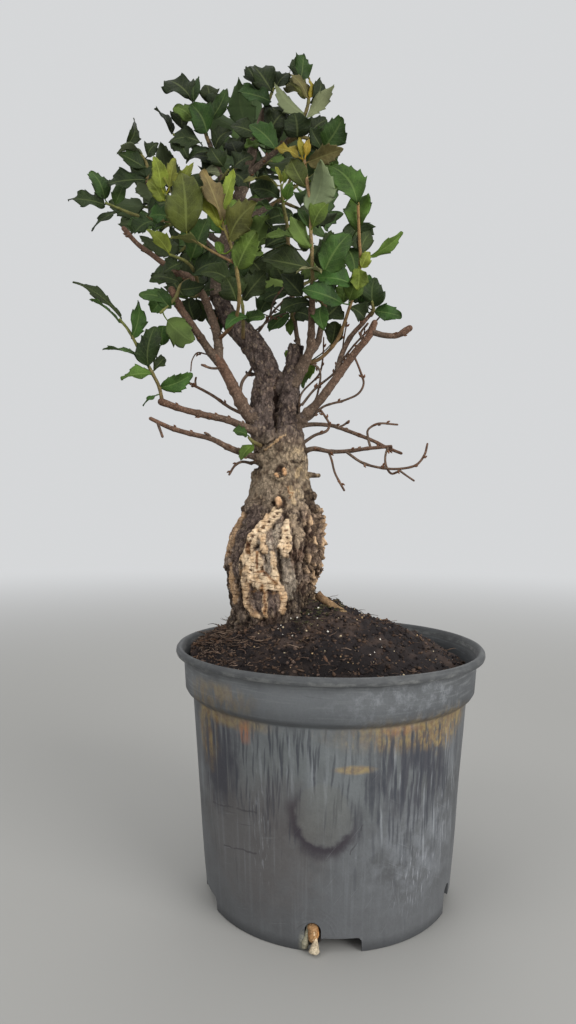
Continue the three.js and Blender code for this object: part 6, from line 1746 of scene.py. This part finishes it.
BACK_SHOOTS = {
    "shoot_back_left_low": ((-108, 491, 47), (-128, 484, 74), 6),
    "shoot_back_left_high": ((-110, 493, 50), (-126, 520, 72), 7),
    "shoot_back_right_low": ((-40, 503, 50), (-14, 492, 74), 6),
    "shoot_back_right_high": ((-38, 504, 53), (-26, 532, 72), 7),
    "shoot_back_top": ((-66, 545, 44), (-60, 552, 62), 6),
    "shoot_back_middle": ((-68, 531, 31), (-76, 524, 72), 7),
    "shoot_back_low": ((-61, 454, 57), (-52, 452, 84), 6),
    "shoot_back_low_left": ((-74, 447, 33), (-98, 452, 58), 6),
    "shoot_back_centre": ((-56, 494, 34), (-62, 486, 78), 7),
    "shoot_side_right": ((-46, 499, 44), (-14, 524, 34), 6),
    "shoot_side_left": ((-120, 497, 3), (-142, 500, 34), 6),
    "shoot_low_right": ((-29.8, 438, 4), (-10, 446, 34), 6),
    "shoot_mid_right": ((-64, 524, 4), (-46, 532, 26), 5),
    "shoot_mid_left": ((-100, 478, 7), (-114, 466, 24), 5),
    "shoot_mid_top": ((-57, 550, 2), (-68, 556, 22), 5),
    "shoot_mid_low": ((-83, 455, 10), (-64, 466, 24), 5),
}
print("leaves at the front:", sum(len(shoot["leaves"]) for shoot in SHOOTS.values()))

# %% [markdown]
# ## One leaf
#
# A leaf starts as a small sheet with rows from stalk to tip and columns from margin to margin. Five
# things turn it into an oak leaf: an outline that is widest below the middle, forward-pointing teeth, a
# fold along the midrib, soft swellings between the side veins, and a bend and twist of its own. A second
# sheet under the first gives it thickness, so it also looks right from the edge.

# %% Leaf form
TONES = {
    "dark": colour(34, 44, 23), "mid": colour(44, 65, 29), "light": colour(70, 91, 37), "young": colour(100, 109, 42),
    "olive": colour(76, 80, 38), "amber": colour(116, 102, 38), "pale": colour(98, 103, 74),
    "bronze": colour(94, 86, 58),
}
LEAF_ROWS, LEAF_COLUMNS = 41, 11
FULLER = 1.12
LEAF_FOLD = 0.18
LEAF_ARCH = 0.1


def leaf_form(base, tip, width, roll, luck):
    """The points of one leaf: the upper sheet from margin to margin, then the lower one back again."""
    along = tip - base
    length = np.linalg.norm(along)
    along = along / length
    face = np.array([0.0, -1.0, 0.35])
    face = face - along * (face @ along)
    face /= np.linalg.norm(face)
    turn = math.radians(roll)
    face = face * math.cos(turn) + np.cross(along, face) * math.sin(turn)
    side = np.cross(along, face)

    t = np.linspace(0, 1, LEAF_ROWS)[:, None]
    u = np.linspace(-1, 1, LEAF_COLUMNS)[None, :]
    u = np.sign(u) * np.abs(u) ** 0.85
    left = u < 0
    belly = np.where(left, luck.uniform(0.66, 1.15), luck.uniform(0.66, 1.15))
    blunt = luck.uniform(0.6, 0.9)
    outline = np.maximum(np.sin(math.pi * t**belly) ** blunt, 0.03)
    ripples = luck.uniform(4, 9) * t
    ripples = ripples + np.where(left, luck.uniform(0, 6), luck.uniform(0, 6))
    outline = outline * (1 + 0.09 * np.sin(ripples))
    teeth = luck.choice((3, 4, 4, 5)) if length > 22 else luck.choice((2, 3, 3))
    offset = np.where(left, luck.uniform(0, 1), luck.uniform(0, 1))
    step = (t - 0.12) / 0.82 * teeth + offset + 0.16 * np.sin(luck.uniform(5, 9) * t)
    tooth = step - np.floor(step)
    size = np.where(left, 1.0, 0.8) * (0.75 + 0.5 * np.sin(np.floor(step) * 2.4 + luck.uniform(0, 6)) ** 2)
    spike = tooth ** luck.uniform(1.6, 3.4)
    spread = ease(t, 0.08, 0.24) * (1 - ease(t, 0.93, 1.0))
    edge = luck.uniform(0.12, 0.34) * (spike - 0.3) * size * spread * np.abs(u) ** 3
    half = 0.5 * FULLER * width * outline * (1 + edge)
    forward = 0.07 * width * spike * spread * np.abs(u) ** 3

    wave_turns, wave_start = luck.uniform(0.8, 2.0), luck.uniform(0, 6.28)
    wave_phase = wave_turns * 6.28 * t + wave_start + np.where(left, 0.0, 2.1)
    wave = luck.uniform(0.06, 0.2) * width * np.sin(wave_phase) * u**2
    wave = wave + luck.uniform(0.02, 0.08) * width * (spike - 0.3) * size * spread * np.abs(u) ** 3
    phase = t * VEIN_PAIRS - np.abs(u) * VEIN_SLANT
    quilt = 0.4 * np.abs(np.sin(math.pi * (phase - 0.5))) * 4 * np.abs(u) * (1 - np.abs(u)) * spread
    fold = LEAF_FOLD * luck.uniform(0.2, 2.2) * np.abs(u) ** 1.3 * half
    droop = luck.uniform(-0.1, 0.3) * length * t**2.4
    arch = LEAF_ARCH * length * 4 * t * (1 - t)
    rise = arch + fold + wave + quilt - droop
    sway = luck.uniform(-0.08, 0.08) * length * np.sin(math.pi * t)
    thick = 0.16 + 0.2 * (1 - np.abs(u)) + 0.55 * np.exp(-((u * half / 0.7) ** 2)) * (1 - 0.6 * t)
    twist = luck.uniform(-0.6, 0.6) * t

    across = u * half * np.cos(twist)
    lift = rise + u * half * np.sin(twist)

    def sheet(height, columns):
        grid = (base + along * (t * length + forward)[..., None] + side * (across + sway)[..., None]
                + face * height[..., None])
        return grid[:, columns]

    every = list(range(LEAF_COLUMNS))
    upper_sheet = sheet(lift, every)
    lower_sheet = sheet(lift - thick, every[-2:0:-1])
    points = np.concatenate([upper_sheet, lower_sheet], axis=1)
    places = np.concatenate([u[0], u[0][-2:0:-1]]) * 0.5 + 0.5
    blade = np.stack(np.broadcast_arrays(places[None, :], t), axis=-1)
    return points, blade, length


LEAF_GRID = grid_faces(LEAF_ROWS, 2 * LEAF_COLUMNS - 2, True)
LEAF_GRID = (LEAF_GRID[0][:, ::-1], LEAF_GRID[1][:, ::-1])
UPPER_FACES = np.tile((np.arange(2 * LEAF_COLUMNS - 2) < LEAF_COLUMNS - 1).astype(float), LEAF_ROWS - 1)
print("faces on one leaf:", len(LEAF_GRID[0]))


# %% Leaf with its stalk
def add_leaf(pile, foot, base, tip, width, roll, tone, luck):
    points, blade, length = leaf_form(base, tip, width, roll, luck)
    rows, columns = points.shape[:2]
    ends = [([list(range(columns))], np.full((1, columns, 2), 0.01)),
            ([list(range(rows * columns - 1, (rows - 1) * columns - 1, -1))], np.full((1, columns, 2), 0.99))]
    green = np.array(TONES[tone]) * luck.uniform(0.7, 1.2) * [luck.uniform(0.88, 1.16), 1.0, luck.uniform(0.8, 1.1)]
    # Painted light and shade: leaves low in the crown are painted lighter and leaves at its top darker, the dark and
    # mid ones most.
    if tone in ("dark", "mid"):
        green = green * (1.38 - 0.64 * ease(base[2], 480.0, 560.0))
    else:
        green = green * (1.14 - 0.3 * ease(base[2], 490.0, 580.0))
    flat = points.reshape(-1, 3)
    tip_share = (ease(blade[..., 1], 0.72, 1.0) * luck.uniform(0.0, 0.3)).reshape(-1, 1)
    tint = green * (1 + 0.22 * noise(flat, 8.0, 7)[:, None]) * (1 - tip_share) + green * [1.35, 1.12, 0.7] * tip_share
    pile.add(flat, [LEAF_GRID] + ends, (2 * width, length), tint, 0, blade.reshape(-1, 2), UPPER_FACES)
    ahead = (tip - base) / length
    below = points[0, LEAF_COLUMNS // 2] - base
    stalk = [foot, foot * 0.4 + (base - ahead * 1.5) * 0.6, base + below * 0.5 + ahead * 0.8]
    pile.add(*tube(stalk, [0.62, 0.5, 0.46], 6, 1.2), green * [1.7, 1.45, 1.1], 1)


# %% [markdown]
# ## Growing the shoots
#
# A stalk leaves its stem at the nearest place, a little away from the stem's ends. The shoots at the
# back can't be seen in a photograph taken from the front, so their leaves are set by the rule that the
# plant itself follows: each new leaf is turned by the golden angle from the last.

# %% Grow the shoots
STEM_BROWN = colour(104, 86, 60)
STEM_GREEN = colour(110, 116, 64)
STEM_TINTS = {
    "shoot_hero": (colour(110, 80, 58), colour(128, 118, 72)),
    "shoot_centre": (colour(104, 96, 62), colour(150, 120, 88)),
    "shoot_right": (colour(106, 86, 60), colour(138, 108, 70)),
    "shoot_right_upper": (colour(106, 88, 60), colour(120, 118, 68)),
    "shoot_behind_stub": (colour(102, 96, 60), colour(118, 120, 72)),
}
GOLDEN_ANGLE = math.pi * (3 - math.sqrt(5))
FIRST_LEAF_SHARE = 0.35
STALK_LENGTH = 6.0
WIDTH_SHARE = 0.58
FACE_BACK = 180


def stalk_foot(stem, base, order):
    places = smooth_line(stem, 24)[0]
    places = places[3:] if order % 2 else places[2:-1]
    return places[np.argmin(np.linalg.norm(places - base, axis=1))]


def start_shoot(name, stems):
    pile = Pile()
    first, last = STEM_TINTS.get(name, (STEM_BROWN, STEM_GREEN))
    for points, radii in stems:
        shell, groups, size = tube(points, radii, 9, pitch=1.5, rough=0.06, grain=3.0, seed=len(name), flare=0.25,
                                   swellings=[(k / 6, 0.18, 0.9) for k in range(1, 6)])
        pile.add(shell, groups, size, shaded(shell, 9, first, last, 5), 1)
    return pile


def finish_shoot(pile, name):
    build(pile, name + "_leaves", [leaf_skin_material, stem_skin], [name])


def turned_leaves(start, end, count, seed):
    """Places for leaves about a stem from start to end, each turned by the golden angle from the last."""
    axis = Vector(end - start).normalized()
    level_way = (Vector((0, 0, 1)) - axis * axis.z).normalized()
    for k in range(count):
        share = FIRST_LEAF_SHARE + (1 - FIRST_LEAF_SHARE) * (k + 0.5) / count
        spread = Matrix.Rotation(GOLDEN_ANGLE * k + seed, 3, axis) @ level_way
        aim = np.array((spread * (1.1 - 0.6 * share) + axis * (0.45 + 0.5 * share)).normalized())
        yield start + (end - start) * share, aim, 27 + 7 * math.sin(3.1 * k + seed)


luck = random.Random(11)
stems_of = {name: spots(shoot["stem"]) for name, shoot in SHOOTS.items()}
filling = {name: [] for name in SHOOTS}
for row in FILLING_LEAVES:
    base = spot(row[0:3])
    near = min(stems_of, key=lambda name: np.linalg.norm(smooth_line(stems_of[name], 24)[0] - base, axis=1).min())
    filling[near].append(row)
for name, shoot in SHOOTS.items():
    stem = stems_of[name]
    stems = [(stem, [1.35, 1.2, 1.0])]
    if "side" in shoot:
        stems.append((spots(shoot["side"]), [0.85, 0.7]))
    pile = start_shoot(name, stems)
    rows = [(row, stem) for row in shoot["leaves"] + filling[name]]
    rows += [(row, stems[1][0]) for row in shoot.get("side_leaves", [])]
    for order, (row, from_stem) in enumerate(rows):
        base, tip = spot(row[0:3]), spot(row[3:6])
        width = row[6] * nearness((row[2] + row[5]) / 2)
        add_leaf(pile, stalk_foot(from_stem, base, order), base, tip, width, row[7], row[8], luck)
    finish_shoot(pile, name)

# %% Grow the shoots at the back
for seed, (name, (first, last, count)) in enumerate(BACK_SHOOTS.items()):
    start, end = spot(first), spot(last)
    pile = start_shoot(name, [([start, (start + end) / 2, end], [1.35, 1.2, 1.0])])
    for foot, aim, length in turned_leaves(start, end, count, seed):
        base = foot + aim * STALK_LENGTH
        tone = luck.choice(("dark", "dark", "mid", "mid", "light"))
        add_leaf(pile, foot, base, base + aim * length, length * WIDTH_SHARE, FACE_BACK, tone, luck)
    finish_shoot(pile, name)

# %% [markdown]
# ## Two roots
#
# One root has found its way out of a drain and ends just above the floor, broken and pale. Another lies
# on the mix to the right of the trunk, half buried.

# %% The roots
drain_root = Pile()
DRAIN_ROOT_PARTS = [
    # places, radii, colours at the start and at the end
    ([(-9, -72, 13), (-8.6, -82, 14.4), (-8.3, -86.8, 15.0), (-8.0, -88.0, 11.6), (-8.8, -88.2, 7.4)],
     [2.2, 2.7, 3.4, 3.2, 2.0],
     colour(146, 110, 74), colour(168, 130, 90)),
    ([(-9.8, -87.0, 17), (-10.2, -89.0, 13), (-10.0, -89.2, 8)],
     [0.7, 0.9, 0.6], colour(120, 80, 48), colour(152, 106, 66)),
    ([(-7.6, -88.4, 17), (-7.4, -90.4, 12.6), (-8.2, -90.2, 8.6)],
     [0.5, 0.8, 0.4], colour(206, 172, 134), colour(214, 186, 150)),
    ([(-5.6, -88.0, 16), (-5.2, -89.6, 12), (-5.8, -89.6, 9)],
     [0.6, 0.8, 0.4], colour(164, 116, 70), colour(180, 134, 88)),
    ([(-6.2, -89.6, 10.2), (-6.8, -90.6, 6), (-7.2, -91.4, 2.2)],
     [0.5, 2.1, 3.5], colour(180, 160, 132), colour(188, 176, 152)),
    ([(-11.4, -87.2, 16.4), (-12.0, -87.2, 11), (-12.9, -87.1, 6), (-13.2, -86.9, 2.4)], [0.6, 1.5, 2.2, 1.9],
     colour(130, 126, 108), colour(164, 158, 136)),
    # Painted shade: this last part is a dark plug in the drain behind the root, a dark thing where the inside of the
    # drain lies in shade.
    ([(-8.4, -78.6, 2.2), (-8.4, -78.6, 9), (-8.4, -78.6, 18)],
     [5.2, 5.4, 4.8], colour(52, 45, 40), colour(62, 54, 46)),
]
for k, (places, radii, first, last) in enumerate(DRAIN_ROOT_PARTS):
    shell, groups, size = tube(places, radii, 18, 0.6, rough=0.24, grain=1.6, seed=3 + k, tip=CUT_TIP)
    drain_root.add(shell, groups, size, shaded(shell, 18, first, last, 4 + k))
build(drain_root, "drain_root_skin", [root_skin], ["drain_root"])

surface_root = Pile()
SURFACE_ROOT = [(-9, 212, -6), (-1, 206, -9), (8, 200.5, -10), (17, 195, -9), (26, 190, -8)]
shell, groups, size = tube(spots(SURFACE_ROOT), [3.4, 2.8, 2.4, 2.0, 1.2], 14, 1.0, rough=0.24, grain=3.0, seed=8)
surface_root.add(shell, groups, size, shaded(shell, 14, colour(112, 88, 66), colour(168, 140, 100), 9))
build(surface_root, "surface_root_skin", [root_skin], ["surface_root"])

# %% [markdown]
# ## Floor and light
#
# The tree stands on a plain pale floor that fades into the pale sky with distance, so that no edge
# crosses the picture. One large soft lamp at the front right, like a window, gives the leaves and the
# bark a light side and a shaded side. A weaker one at the left, one above and one behind keep the
# shadows open. The colours are shown as they are, with no film look on top.

# %% Floor
SKY = (0.67, 0.68, 0.69)
FLOOR_HALF = 30000
HAZE_FROM, HAZE_TO = 500.0, 2600.0
floor_paint = Paint("floor_paint")
place_x, place_y, _ = floor_paint.parts(floor_paint.place)
far = floor_paint.between((place_x * place_x + place_y * place_y).math("SQRT"), HAZE_FROM, HAZE_TO)
floor_body = floor_paint.node("ShaderNodeBsdfPrincipled", {}, {"Base Color": (0.3, 0.295, 0.28, 1.0), "Roughness": 0.7})
haze = floor_paint.node("ShaderNodeEmission", {}, {"Color": (*SKY, 1.0), "Strength": 1.0})
merged = floor_paint.node("ShaderNodeMixShader", {}, {0: far, 1: floor_body, 2: haze})
floor_paint.node("ShaderNodeOutputMaterial", {}, {"Surface": merged})
floor_corners = [(x * FLOOR_HALF, y * FLOOR_HALF, 0) for x, y in ((-1, -1), (1, -1), (1, 1), (-1, 1))]
floor = to_scene("floor", floor_corners, [(0, 1, 2, 3)], [floor_paint.material])

# %% Lamps and sky
def lamp(name, place, target, size, power):
    light = bpy.data.lights.new(name, "AREA")
    light.shape = "DISK"
    light.size = size
    light.energy = power
    holder = bpy.data.objects.new(name, light)
    bpy.context.scene.collection.objects.link(holder)
    holder.location = place
    holder.rotation_euler = (Vector(target) - Vector(place)).to_track_quat("-Z", "Y").to_euler()


lamp("window_lamp", (1.7, -1.5, 0.95), (0, 0, 0.3), 1.5, 50.0)
lamp("room_lamp", (-1.5, -1.3, 1.7), (0, 0, 0.3), 1.5, 17.0)
lamp("ceiling_lamp", (-0.3, -0.2, 2.3), (0, 0, 0.3), 1.6, 9.0)
lamp("back_lamp", (0.3, 1.8, 1.6), (0, 0, 0.4), 1.5, 8.0)
sky = bpy.data.worlds.new("sky")
sky.use_nodes = True
sky.node_tree.nodes["Background"].inputs["Color"].default_value = (*SKY, 1.0)
sky.node_tree.nodes["Background"].inputs["Strength"].default_value = 1.0
bpy.context.scene.world = sky
bpy.context.scene.view_settings.view_transform = "Standard"

# %% [markdown]
